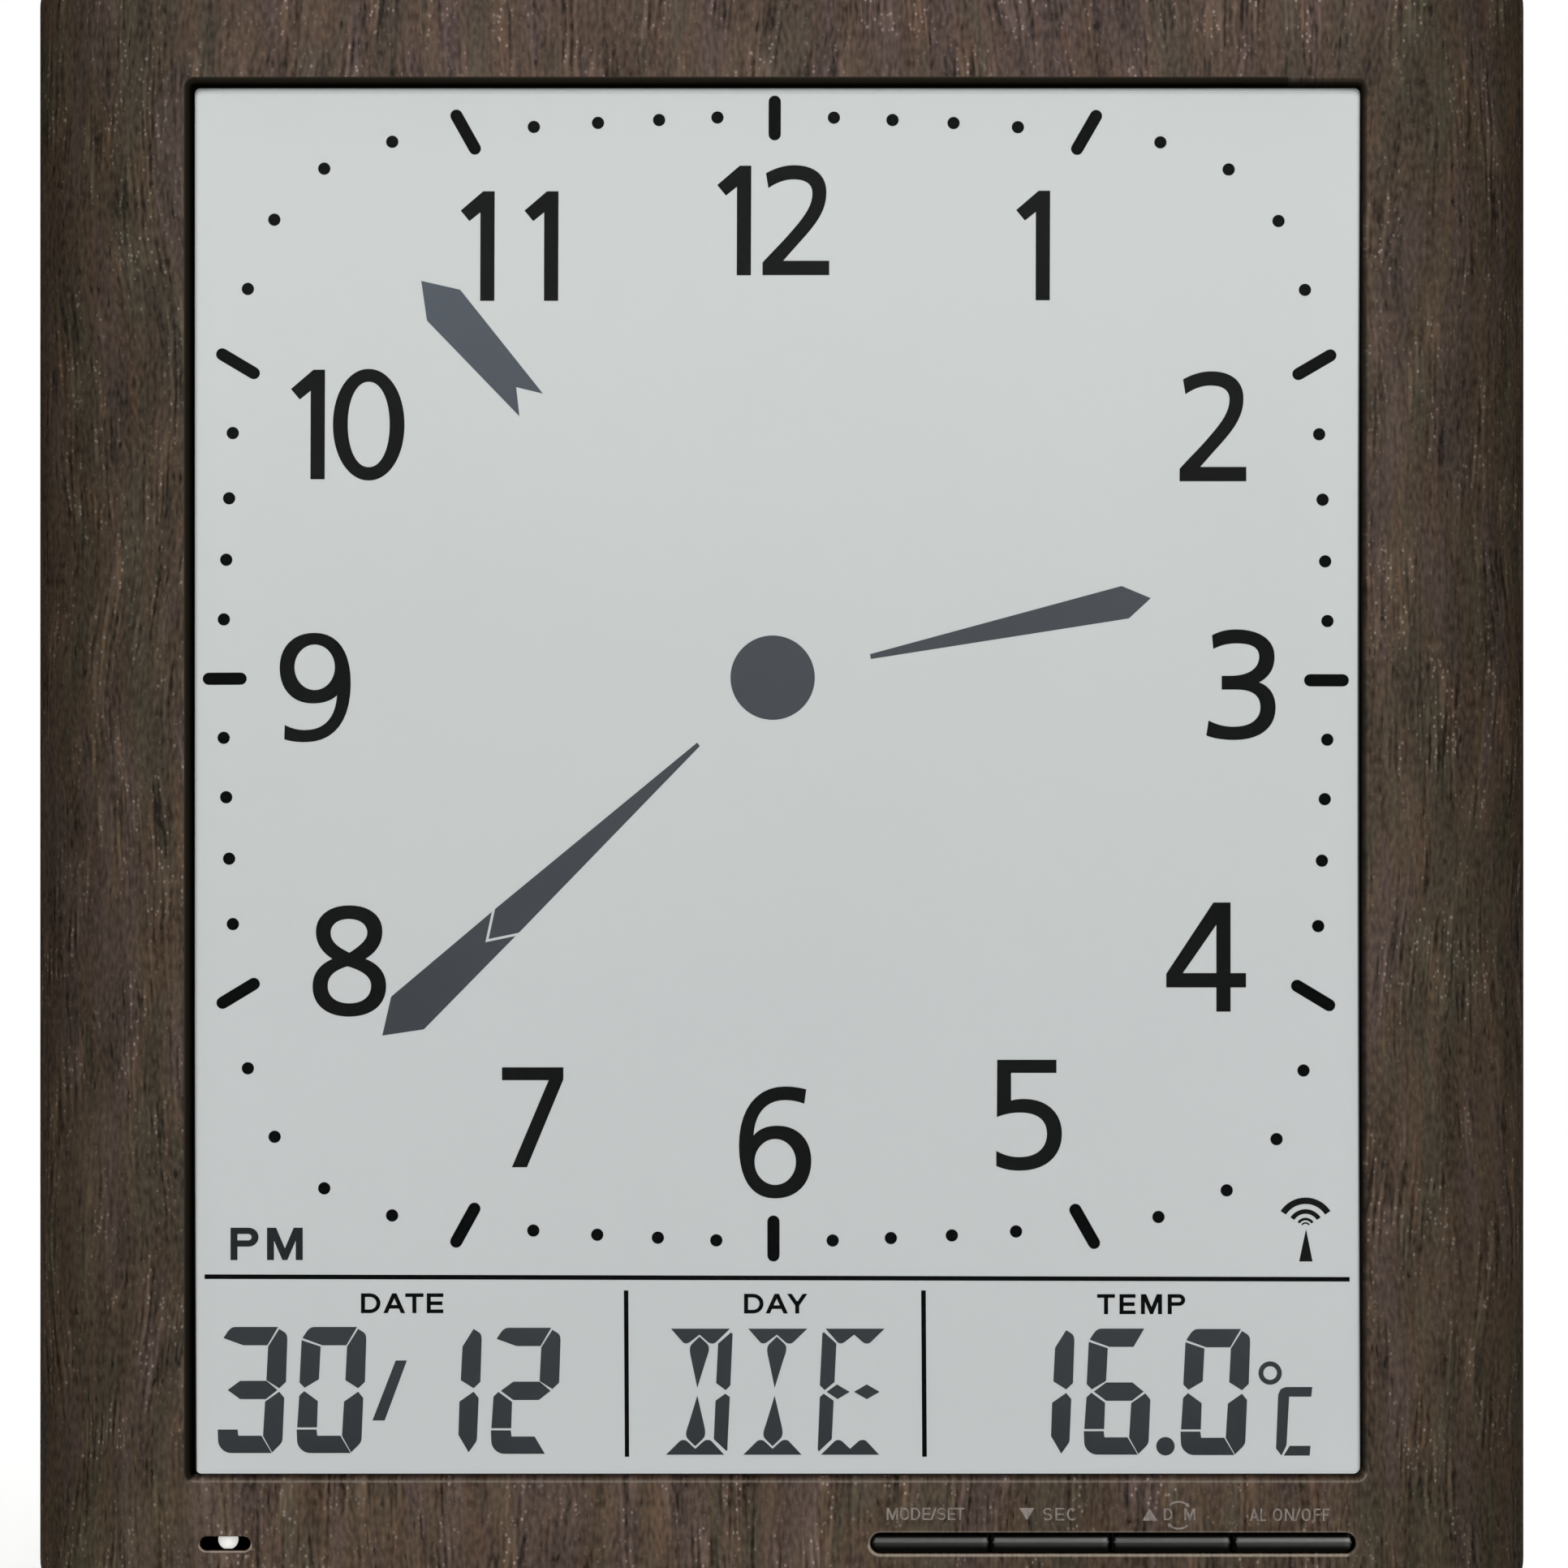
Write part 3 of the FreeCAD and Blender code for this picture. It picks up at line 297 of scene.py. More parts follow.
    # bare plastic: inside the frame, in the window's walls, in the key and sensor slots
    ax, az = g.m("ABSOLUTE", g.x), g.m("ABSOLUTE", zc)
    flat = g.m("MULTIPLY", g.m("LESS_THAN", ax, 84.0), g.m("LESS_THAN", az, 114.0))
    slots = g.m("MULTIPLY", g.m("LESS_THAN", g.m("ABSOLUTE", g.m("ADD", zc, 105.0)), 1.9), g.m("LESS_THAN", ax, 82.0))
    slots = g.m("MULTIPLY", slots, g.m("GREATER_THAN", g.y, -27.70))
    side = g.m("SUBTRACT", g.m("ADD", g.m("MULTIPLY", g.m("MULTIPLY", nx, g.x), 0.01),
                               g.m("MULTIPLY", g.m("MULTIPLY", nz, zc), 0.0085)), ny)
    inner = g.m("MULTIPLY", g.m("SUBTRACT", 1.0, flat), g.m("LESS_THAN", side, -0.02))
    # out: how far outside the window's opening, in the plane of the face
    qx = g.m("SUBTRACT", g.m("ABSOLUTE", g.m("ADD", g.x, 0.80)), 81.17 - 0.85)
    qz = g.m("SUBTRACT", g.m("ABSOLUTE", g.m("SUBTRACT", zc, 0.45)), 96.52 - 0.85)
    px, pz = g.m("MAXIMUM", qx, 0.0), g.m("MAXIMUM", qz, 0.0)
    away = g.m("SUBTRACT", g.m("ADD", g.m("SQRT", g.m("ADD", g.m("MULTIPLY", px, px), g.m("MULTIPLY", pz, pz))),
                               g.m("MINIMUM", g.m("MAXIMUM", qx, qz), 0.0)), 0.85)
    # painted shade in the window's walls: the film is turned in over the lower rim; the right wall and rim get a graded
    # painted shade, and the top and left walls and rims, which face away from the light, are painted dark as shade
    low = g.span(g.m("SUBTRACT", g.m("MULTIPLY", zc, -1.0), ax), 14.2, 15.0)
    right = g.m("MULTIPLY", g.m("GREATER_THAN", g.x, 70.0), g.m("SUBTRACT", 1.0, low))
    wall_shade_top_left = g.m("MULTIPLY", g.span(away, 0.74, 0.58), g.m("SUBTRACT", 1.0, g.m("MAXIMUM", low, right)))
    # the graded painted shade over the right wall and rim
    thin = g.m("MULTIPLY", g.m("ADD", g.span(away, 0.66, 0.30, 0.0, 0.60), g.span(away, 0.30, -0.16, 0.0, 0.32, "LINEAR")), right)
    depth = g.m("ADD", g.y, 0.0)
    deep = g.m("MULTIPLY", flat, g.span(depth, g.m("MULTIPLY_ADD", low, 0.25, -26.55), g.m("MULTIPLY_ADD", low, 0.25, -26.15)))
    bare = g.m("MAXIMUM", g.m("MAXIMUM", deep, slots), inner)
    # colours of the painted shade on the walls, near black at their foot and dim brown at the rim
    edge = g.ramp(g.span(away, -0.50, 0.70, kind="LINEAR"), (0.04, srgb(2, 2, 1)), (0.19, srgb(13, 13, 9)), (0.36, srgb(25, 22, 18)),
                  (0.59, srgb(27, 25, 20)), (0.80, srgb(37, 33, 27)), (0.98, srgb(56, 50, 43)))
    c = g.mix(g.m("MAXIMUM", wall_shade_top_left, thin), c, edge)
    # painted shade: the lower wall darkens towards its foot, next to the display
    nearly = g.m("MULTIPLY", g.m("LESS_THAN", away, 0.0), low)
    c = g.mix(g.m("MULTIPLY", nearly, g.span(away, -0.02, -0.22, 0.10, 0.45)), c, srgb(14, 12, 9))
    # a painted highlight along the window's lower rim, broken up by the grain
    rim_highlight = g.m("MULTIPLY", g.m("MULTIPLY", g.span(away, 0.12, 0.42), g.span(away, 0.70, 0.46)), low)
    rim_highlight = g.m("MULTIPLY", rim_highlight, g.span(speck, 0.25, 0.60, 0.38, 0.74, "LINEAR"))
    c = g.mix(rim_highlight, c, srgb(124, 114, 103))
    # a pale ring is painted round the rims of the two slots as a painted highlight, strongest on the lower rim that
    # faces the light
    def ring(xc, zm, half, r, wide=1.0, top=0.36):
        dx = g.m("MAXIMUM", g.m("SUBTRACT", g.m("ABSOLUTE", g.m("SUBTRACT", g.x, xc)), half - r), 0.0)
        dz = g.m("SUBTRACT", zc, zm)
        d = g.m("SUBTRACT", g.m("SQRT", g.m("ADD", g.m("MULTIPLY", dx, dx), g.m("MULTIPLY", dz, dz))), r)
        under = g.span(dz, 0.3, -0.6)
        band = g.m("MULTIPLY", g.span(g.m("SUBTRACT", d, g.m("MULTIPLY", under, 0.07)), 0.0, 0.06), g.span(g.m("SUBTRACT", d, g.m("MULTIPLY", under, 0.22 * wide)), 0.34 * wide, 0.18 * wide))
        gone = g.m("MULTIPLY", g.span(g.x, 78.0, 78.7, 0.0, 0.85), g.span(dz, 1.1, 0.3))
        return g.m("MULTIPLY", g.m("MULTIPLY", band, g.m("SUBTRACT", 1.0, gone)), g.m("MULTIPLY_ADD", under, 0.86 - top, top))
    slot_rim_highlight = g.m("MAXIMUM", ring(45.775, -105.0, 33.525, 1.4), ring(-76.925, -105.05, 3.475, 0.95, 0.65, 0.0))
    c = g.mix(g.m("MULTIPLY", slot_rim_highlight, g.span(speck, 0.25, 0.65, 0.75, 1.1, "LINEAR")), c, srgb(156, 145, 131))
    # painted shade: the print is darkened down both sides, where the rounded rails turn away from the light
    out = g.m("ABSOLUTE", u0)
    side_shade = g.m("ADD", g.span(out, 78.0, 86.0, 0.0, 0.20), g.span(out, 89.0, 103.0, 0.0, 0.36, "LINEAR"))
    c = g.mix(side_shade, c, srgb(18, 14, 9))
    g.colour(g.mix(bare, c, g.mix(speck, srgb(2, 2, 2), srgb(5, 5, 4))))

    satin = g.m("ADD", g.span(speck, 0.3, 0.7, 0.54, 0.44, "LINEAR"), g.m("MULTIPLY", pale, 0.04))
    g.rough(g.mix(bare, satin, g.span(speck, 0.3, 0.7, 0.86, 0.96, "LINEAR")))
    # only the film on the outside is lacquered
    lacquer = g.m("SUBTRACT", 1.0, g.m("MAXIMUM", g.m("MAXIMUM", bare, wall_shade_top_left), g.m("MAXIMUM", thin, nearly)))
    g.feed(g.shader.inputs["Coat Weight"], g.m("MULTIPLY", lacquer, g.span(speck, 0.3, 0.7, 0.06, 0.09, "LINEAR")))
    pores = g.m("SUBTRACT", g.m("ADD", g.m("MULTIPLY", speck, 0.3), g.m("MULTIPLY", fleck_glints, 0.5)),
                g.m("ADD", g.m("MULTIPLY", dark, 0.3), g.m("MULTIPLY", pits, 0.6)))
    g.normal(g.bump(g.m("MULTIPLY", pores, g.m("SUBTRACT", 1.0, bare)), 0.02))
    return g.mat


# ---------------------------------------------------------------- other finishes
def moulded(name, dark, light, rough, grain_mm, depth_mm, cloud_mm=24.0, spread=0.06, **fixed):
    """Moulded plastic: fine surface texture, slow tone drift from flow and handling."""
    g = Graph(name, rough, **fixed)
    grain = g.noise(g.mm, 1 / grain_mm, 3.0, 0.6)
    cloud = g.noise(g.mm, 1 / cloud_mm, 2.0)
    t = g.m("ADD", g.m("MULTIPLY", grain, 0.6), g.m("MULTIPLY", cloud, 0.4))
    g.colour(g.mix(g.span(t, 0.36, 0.64, kind="LINEAR"), dark, light))
    g.rough(g.span(g.m("ADD", grain, g.m("MULTIPLY", cloud, 0.6)), 0.55, 1.05, rough - spread, rough + spread, "LINEAR"))
    g.normal(g.bump(grain, depth_mm))
    return g.mat


def metal(name, dark, light, rough, drawn=(1.0, 1.0, 1.0), depth_mm=0.004, **fixed):
    """Metal with drawing marks along the axis that is stretched, and dull patches."""
    g = Graph(name, rough, Metallic=1.0, **fixed)
    marks = g.noise(g.scaled(g.mm, *drawn), 6.0, 3.0, 0.6)
    dull = g.noise(g.mm, 0.35, 3.0)
    g.colour(g.mix(g.span(g.m("ADD", g.m("MULTIPLY", marks, 0.6), g.m("MULTIPLY", dull, 0.5)), 0.4, 0.7), dark, light))
    g.rough(g.span(dull, 0.35, 0.65, rough - 0.07, rough + 0.1, "LINEAR"))
    g.normal(g.bump(marks, depth_mm))
    return g.mat


def cell_front():
    """Front film of the display: a cool grey that fades a little downwards, with the fine sparkle
    of the reflector behind it."""
    g = Graph("lcd_front_film", 0.42, Specular_IOR_Level=0.06)
    t = g.span(g.z, MID_Z - 97.0, MID_Z + 97.0, kind="LINEAR")
    c = g.ramp(t, (0.0, srgb(208, 212, 212)), (0.35, srgb(205, 209, 209)), (0.5, srgb(206, 211, 210)), (0.75, srgb(210, 215, 213)), (1.0, srgb(215, 220, 219)))
    # painted light: the film is brightened along the two sides and the foot of the window and just under its top edge,
    # where the frame's shade falls on it
    zc = g.m("SUBTRACT", g.z, MID_Z)
    painted_edge_light = None
    for gap, share, reach in ((g.m("ADD", g.x, 81.3), 0.15, 3.5), (g.m("SUBTRACT", 80.1, g.x), 0.20, 3.0), (g.m("ADD", zc, 95.6), 0.24, 3.2), (g.m("ADD", zc, 95.6), 0.12, 0.7)):
        one = g.m("MULTIPLY", g.m("EXPONENT", g.m("MULTIPLY", g.m("MAXIMUM", gap, 0.0), -1 / reach)), share)
        painted_edge_light = one if painted_edge_light is None else g.m("ADD", painted_edge_light, one)
    painted_edge_light = g.m("ADD", painted_edge_light, g.m("MULTIPLY", g.span(zc, 95.82, 96.04, 0.0, 0.42), g.span(zc, 96.36, 96.24)))
    c = g.mix(1.0, c, g.m("ADD", g.m("MINIMUM", painted_edge_light, 0.42), 1.0), "MULTIPLY")
    # painted shade: a dark hair line on the film along the foot of the left and right walls, where the window's sides
    # are not quite true to the cell, following their slight lean and bow
    bow = g.m("SUBTRACT", zc, 5.0)
    right = g.span(g.m("MULTIPLY_ADD", g.m("MULTIPLY", bow, bow), -3.7e-5, g.x), 79.70, 80.08)
    lean = g.m("MULTIPLY", g.m("MINIMUM", g.m("ADD", zc, 35.0), 0.0), 0.0046)
    left = g.span(g.m("ADD", g.x, lean), -81.32, -81.58)
    crease_shade = g.m("MAXIMUM", right, left)
    spark = g.noise(g.mm, 5.5, 2.0, 0.6)
    cloud = g.noise(g.mm, 1 / 35, 2.0)
    k = g.m("ADD", g.m("MULTIPLY", spark, 0.55), g.m("MULTIPLY", cloud, 0.45))
    c = g.mix(g.span(k, 0.38, 0.62, 0.0, 1.0, "LINEAR"), g.mix(0.008, c, srgb(60, 66, 70)), g.mix(0.012, c, srgb(255, 255, 255)))
    g.colour(g.mix(crease_shade, c, srgb(3, 4, 4)))
    g.rough(g.span(spark, 0.3, 0.7, 0.38, 0.46, "LINEAR"))
    g.normal(g.bump(spark, 0.0006))
    return g.mat


def segment_ink(name, low, high, z0=-97.0, z1=97.0, rough=0.55, mottle=0.10):
    """Driven liquid crystal: one dark tone with a slight drift up and down the display."""
    g = Graph(name, rough, Specular_IOR_Level=0.015)
    spark = g.noise(g.mm, 5.5, 2.0, 0.6)
    cloud = g.noise(g.mm, 1 / 18, 2.0)
    t = g.span(g.z, MID_Z + z0, MID_Z + z1, kind="LINEAR")
    c = g.mix(t, low, high)
    c = g.mix(g.span(g.m("ADD", g.m("MULTIPLY", spark, 0.5), g.m("MULTIPLY", cloud, 0.5)), 0.4, 0.6, 0.0, mottle, "LINEAR"), c, srgb(96, 100, 106))
    g.colour(c)
    g.rough(g.span(spark, 0.3, 0.7, rough - 0.04, rough + 0.05, "LINEAR"))
    g.normal(g.bump(spark, 0.002))
    return g.mat


def clear_window():
    """Clear acrylic: nearly unseen but for a soft gloss, with faint wiping haze."""
    g = Graph("clear_acrylic", 0.08, Alpha=0.04, IOR=1.49, Specular_IOR_Level=0.05)
    wipe = g.noise(g.scaled(g.mm, 1 / 30, 1 / 30, 1 / 70), 1.0, 3.0)
    g.colour(g.mix(wipe, srgb(18, 20, 20), srgb(34, 37, 37)))
    g.rough(g.span(wipe, 0.3, 0.7, 0.05, 0.13, "LINEAR"))
    return g.mat


def display_glass():
    g = Graph("display_glass", 0.05, Alpha=0.25, IOR=1.52)
    tint = g.noise(g.mm, 1 / 40, 1.0)
    g.colour(g.mix(tint, srgb(206, 220, 216), srgb(222, 232, 229)))
    g.rough(g.span(tint, 0.3, 0.7, 0.04, 0.09, "LINEAR"))
    return g.mat


def reflector_film():
    g = Graph("reflector_film", 0.35, Metallic=0.6)
    brushed = g.noise(g.scaled(g.mm, 3.0, 3.0, 0.08), 1.0, 3.0, 0.6)
    g.colour(g.mix(brushed, srgb(170, 176, 174), srgb(214, 219, 217)))
    g.rough(g.span(brushed, 0.3, 0.7, 0.28, 0.42, "LINEAR"))
    g.normal(g.bump(brushed, 0.003))
    return g.mat


def key_gloss():
    """Glossy black keys with the faint smear that fingers leave, and painted highlights and shade."""
    g = Graph("key_gloss_black", 0.16, Specular_IOR_Level=0.06)
    smear = g.noise(g.scaled(g.mm, 0.5, 1.0, 1.4), 1.0, 3.0, 0.6)
    grain = g.noise(g.mm, 6.0, 2.0)
    # painted highlight and shade: a pale band high on the round front of each key, falling to black below
    shade = ((0.18, 3), (0.30, 17), (0.45, 46), (0.60, 48), (0.70, 108), (0.79, 78), (0.86, 6), (0.93, 1))
    c = g.ramp(g.span(g.z, MID_Z - 106.25, MID_Z - 103.75, kind="LINEAR"), *[(t, srgb(k, k, max(k - 1, 1))) for t, k in shade])
    # and painted shade where two keys meet and at the ends of the row
    ends = None
    for at, half in ((28.835, 0.325), (45.525, 0.365), (62.26, 0.39), (12.64, 0.0), (78.66, 0.0)):
        one = g.span(g.m("SUBTRACT", g.m("ABSOLUTE", g.m("SUBTRACT", g.x, at)), half), 0.02, 0.42, 0.04, 1.0)
        ends = one if ends is None else g.m("MULTIPLY", ends, one)
    # painted light: each key is a little brighter or darker than the next and brightens towards its right end, where it
    # has a painted glint
    second, third, fourth = (g.m("GREATER_THAN", g.x, at) for at in (28.835, 45.525, 62.26))
    start = g.m("ADD", g.m("ADD", g.m("MULTIPLY", second, 16.55), g.m("MULTIPLY", third, 16.74)), g.m("MULTIPLY_ADD", fourth, 16.78, 12.64))
    along = g.m("DIVIDE", g.m("SUBTRACT", g.x, start), 16.0)
    painted_key_light = g.m("ADD", g.m("ADD", g.m("MULTIPLY", second, 0.22), g.m("MULTIPLY", third, -0.16)), g.m("MULTIPLY_ADD", fourth, 0.44, 0.96))
    painted_key_light = g.m("MULTIPLY", painted_key_light, g.span(along, 0.0, 1.0, 0.93, 1.07, "LINEAR"))
    glint = g.m("MULTIPLY", g.span(along, 0.925, 0.965), g.span(along, 0.995, 0.97))
    ends = g.m("MULTIPLY", g.m("MULTIPLY", ends, painted_key_light), g.m("MULTIPLY_ADD", glint, 0.45, 1.0))
    c = g.mix(1.0, c, ends, "MULTIPLY")
    g.colour(g.mix(1.0, c, g.span(smear, 0.2, 0.8, 0.85, 1.15, "LINEAR"), "MULTIPLY"))
    g.rough(g.span(smear, 0.32, 0.68, 0.13, 0.24, "LINEAR"))
    g.normal(g.bump(grain, 0.002))
    return g.mat


def foam():
    g = Graph("gasket_foam", 0.95)
    holes = g.cells(g.mm, 3.2)
    g.colour(g.mix(g.span(holes, 0.1, 0.7), srgb(12, 12, 12), srgb(38, 38, 38)))
    g.rough(g.span(holes, 0.1, 0.7, 0.98, 0.85, "LINEAR"))
    g.normal(g.bump(holes, 0.10))
    return g.mat


def elastomer():
    """Connector strip: thin dark conducting layers in pale rubber."""
    g = Graph("zebra_elastomer", 0.6)
    wave = g.m("PINGPONG", g.x, 0.18)
    layer = g.span(wave, 0.07, 0.10)
    soil = g.noise(g.mm, 1.2, 2.0)
    g.colour(g.mix(layer, g.mix(soil, srgb(196, 160, 164), srgb(212, 180, 180)), srgb(36, 34, 36)))
    g.rough(g.span(layer, 0.0, 1.0, 0.55, 0.72, "LINEAR"))
    g.normal(g.bump(layer, 0.01))
    return g.mat


def board():
    """Green solder mask with copper tracks showing through, tinned pads and a drilled look."""
    g = Graph("solder_mask", 0.35)
    xz = g.vec(g.m("MULTIPLY", g.x, 0.55), g.m("MULTIPLY", g.z, 0.55), g.m("MULTIPLY", g.y, 0.2))
    step = g.node("ShaderNodeTexVoronoi", feature="F1", distance="CHEBYCHEV")
    g.feed(step.inputs["Vector"], xz)
    step.inputs["Scale"].default_value = 0.55
    step.inputs["Randomness"].default_value = 0.75
    track = g.span(g.m("PINGPONG", step.outputs["Distance"], 0.11), 0.045, 0.065)
    pad = g.span(g.cells(g.vec(g.x, g.z), 0.28, jitter=0.8), 0.13, 0.10)
    weave = g.noise(g.mm, 3.0, 2.0)
    mask = g.mix(track, srgb(17, 78, 48), srgb(34, 112, 66))
    mask = g.mix(g.span(weave, 0.3, 0.7, 0.0, 0.25, "LINEAR"), mask, srgb(10, 58, 36))
    # painted shade: the board is near black and without gloss in the band seen through the key and sensor slots
    strip = g.m("MULTIPLY", g.m("LESS_THAN", g.m("ABSOLUTE", g.m("SUBTRACT", g.z, MID_Z - 105.0)), 2.6), g.m("LESS_THAN", g.y, -17.3))
    g.colour(g.mix(strip, g.mix(pad, mask, srgb(196, 196, 190)), srgb(2, 2, 2)))
    g.feed(g.shader.inputs["Specular IOR Level"], g.m("MULTIPLY_ADD", strip, -0.5, 0.5))
    g.rough(g.span(weave, 0.3, 0.7, 0.28, 0.42, "LINEAR"))
    g.normal(g.bump(g.m("ADD", track, pad), 0.02))
    return g.mat


def cell_sleeve():
    """Size AA cell: plain printed sleeve with a lighter ring at its plus end, bare steel ends."""
    g = Graph("cell_sleeve", 0.28)
    nx, ny, nz = g.split(g.where.outputs["Normal"])
    upper = g.m("GREATER_THAN", g.z, (42.2 + 26.8) / 2 + MID_Z)
    along = g.m("MULTIPLY", g.x, g.m("MULTIPLY_ADD", upper, 2.0, -1.0))       # grows towards the plus end
    end = g.span(g.m("ABSOLUTE", nx), 0.55, 0.75)
    nub = g.m("GREATER_THAN", along, 27.41)
    bare = g.m("MAXIMUM", g.m("MULTIPLY", end, g.m("GREATER_THAN", g.m("ABSOLUTE", g.x), 20.0)), nub)
    ring = g.m("MULTIPLY", g.m("GREATER_THAN", along, 13.0), g.m("LESS_THAN", along, 25.9))
    edge = g.m("MULTIPLY", g.m("GREATER_THAN", along, 12.2), g.m("LESS_THAN", along, 13.0))
    scuff = g.noise(g.scaled(g.mm, 0.3, 2.0, 2.0), 1.0, 4.0, 0.65)
    body = g.mix(scuff, srgb(58, 63, 76), srgb(72, 78, 92))
    band = g.mix(scuff, srgb(168, 172, 178), srgb(190, 194, 199))
    c = g.mix(ring, body, band)
    c = g.mix(edge, c, srgb(226, 228, 230))
    steel = g.mix(scuff, srgb(170, 170, 168), srgb(206, 206, 204))
    g.colour(g.mix(bare, c, steel))
    g.feed(g.shader.inputs["Metallic"], g.m("MULTIPLY_ADD", bare, 0.65, 0.3))
    g.rough(g.span(scuff, 0.35, 0.65, 0.22, 0.36, "LINEAR"))
    g.normal(g.bump(scuff, 0.006))
    return g.mat


def winding():
    """Fine enamelled wire wound side by side; the two end flanges are pale moulding."""
    g = Graph("coil_winding", 0.3)
    turn = g.m("PINGPONG", g.x, 0.14)
    wobble = g.noise(g.mm, 0.7, 2.0)
    wire = g.mix(wobble, srgb(150, 78, 34), srgb(196, 112, 58))
    wire = g.mix(g.span(turn, 0.05, 0.0), wire, srgb(70, 32, 14))
    flange = g.m("GREATER_THAN", g.m("ABSOLUTE", g.x), 10.98)
    g.colour(g.mix(flange, wire, g.mix(wobble, srgb(206, 202, 192), srgb(222, 219, 211))))
    g.feed(g.shader.inputs["Metallic"], g.m("MULTIPLY", g.m("SUBTRACT", 1.0, flange), 0.75))
    g.rough(g.span(wobble, 0.3, 0.7, 0.26, 0.4, "LINEAR"))
    g.normal(g.bump(g.m("MULTIPLY", turn, g.m("SUBTRACT", 1.0, flange)), 0.09))
    return g.mat


def chip_resin():
    """Black epoxy, with tinned leads where there are any close to the board."""
    g = Graph("chip_epoxy", 0.45)
    grain = g.noise(g.mm, 4.0, 3.0, 0.6)
    zc = g.m("ABSOLUTE", g.m("SUBTRACT", g.z, MID_Z + 70.0))
    lead = g.m("MULTIPLY", g.m("GREATER_THAN", g.z, MID_Z + 60.0), g.m("GREATER_THAN", zc, 2.5))
    g.colour(g.mix(lead, g.mix(grain, srgb(16, 16, 17), srgb(30, 30, 31)), srgb(188, 188, 186)))
    g.feed(g.shader.inputs["Metallic"], g.m("MULTIPLY", lead, 0.9))
    g.rough(g.span(grain, 0.3, 0.7, 0.36, 0.52, "LINEAR"))
    g.normal(g.bump(grain, 0.01))
    return g.mat


def sensor_resin():
    """Dipped white bead that glows with painted light, bright in its slot; its two leads are tinned."""
    g = Graph("sensor_bead", 0.35, Emission_Strength=0.58)
    lump = g.noise(g.mm, 1.4, 3.0)
    lead = g.m("GREATER_THAN", g.y, -20.0)
    g.colour(g.mix(lead, g.mix(lump, srgb(226, 226, 220), srgb(248, 248, 244)), srgb(186, 186, 184)))
    g.feed(g.shader.inputs["Emission Color"], g.mix(lead, srgb(252, 251, 246), srgb(0, 0, 0)))
    g.feed(g.shader.inputs["Metallic"], g.m("MULTIPLY", lead, 0.9))
    g.rough(g.span(lump, 0.3, 0.7, 0.28, 0.42, "LINEAR"))
    g.normal(g.bump(lump, 0.04))
    return g.mat


def stand_plastic():
    """The foot: the same black as the cover, a little finer and more rubbed on its outer face."""
    g = Graph("foot_plastic", 0.42)
    grain = g.noise(g.mm, 4.0, 3.0, 0.6)
    rub = g.noise(g.mm, 1 / 16, 2.0)
    t = g.m("ADD", g.m("MULTIPLY", grain, 0.6), g.m("MULTIPLY", rub, 0.4))
    g.colour(g.mix(g.span(t, 0.36, 0.64, kind="LINEAR"), srgb(32, 32, 33), srgb(43, 43, 44)))
    g.rough(g.span(t, 0.38, 0.62, 0.50, 0.40, "LINEAR"))
    g.normal(g.bump(grain, 0.012))
    return g.mat


def vinyl(name, dark, light):
    g = Graph(name, 0.38)
    grime = g.noise(g.mm, 0.5, 3.0)
    grain = g.noise(g.mm, 5.0, 2.0)
    g.colour(g.mix(grime, dark, light))
    g.rough(g.span(grime, 0.3, 0.7, 0.32, 0.46, "LINEAR"))
    g.normal(g.bump(grain, 0.006))
    return g.mat


def rail_ink():
    """Thin grey print over the wood grain, worn through a little where the grain is raised."""
    g = Graph("rail_print", 0.55)
    worn = g.noise(g.scaled(g.mm, 2.6, 2.6, 0.7), 1.0, 3.0, 0.6)
    g.colour(g.ramp(worn, (0.30, srgb(84, 75, 68)), (0.46, srgb(114, 104, 97)), (0.70, srgb(136, 127, 120))))
    g.rough(g.span(worn, 0.3, 0.7, 0.6, 0.5, "LINEAR"))
    g.normal(g.bump(worn, 0.006))
    return g.mat


def floor_paint():
    """Pale matt floor that ends softly in the white of the studio."""
    g = Graph("floor_paint", 0.6, Specular_IOR_Level=0.2)
    away = g.m("SQRT", g.m("ADD", g.m("MULTIPLY", g.x, g.x), g.m("MULTIPLY", g.y, g.y)))
    g.feed(g.shader.inputs["Alpha"], g.span(away, 1500.0, 700.0))
    cloud = g.noise(g.mm, 1 / 260, 3.0)
    grain = g.noise(g.mm, 0.8, 2.0)
    g.colour(g.mix(cloud, srgb(247, 247, 246), srgb(253, 253, 252)))
    g.rough(g.span(grain, 0.3, 0.7, 0.55, 0.68, "LINEAR"))
    g.normal(g.bump(grain, 0.02))
    return g.mat


BLACK_MOULD = moulded("black_plastic", srgb(26, 26, 27), srgb(40, 40, 42), 0.48, 0.32, 0.035)
DOOR_MOULD = moulded("door_plastic", srgb(28, 28, 29), srgb(42, 42, 44), 0.46, 0.26, 0.03, 12.0)
FOOT = stand_plastic()
GLOSS = key_gloss()
SWITCH = moulded("switch_body", srgb(26, 26, 27), srgb(44, 44, 46), 0.4, 0.5, 0.012, 6.0)
PLUNGER = moulded("switch_plunger", srgb(150, 46, 38), srgb(176, 62, 50), 0.35, 0.6, 0.01, 3.0)
GREY = moulded("button_grey", srgb(128, 128, 131), srgb(146, 146, 149), 0.5, 0.3, 0.02, 5.0)
HOLDER = moulded("holder_white", srgb(206, 206, 200), srgb(228, 228, 223), 0.45, 0.6, 0.015, 14.0)
FERRITE = moulded("ferrite", srgb(40, 40, 43), srgb(62, 62, 66), 0.55, 0.5, 0.04, 9.0)
CERAMIC = moulded("buzzer_ceramic", srgb(206, 206, 198), srgb(226, 226, 219), 0.42, 0.35, 0.01, 6.0)
STEEL = metal("screw_nickel", srgb(150, 150, 151), srgb(198, 198, 199), 0.3)
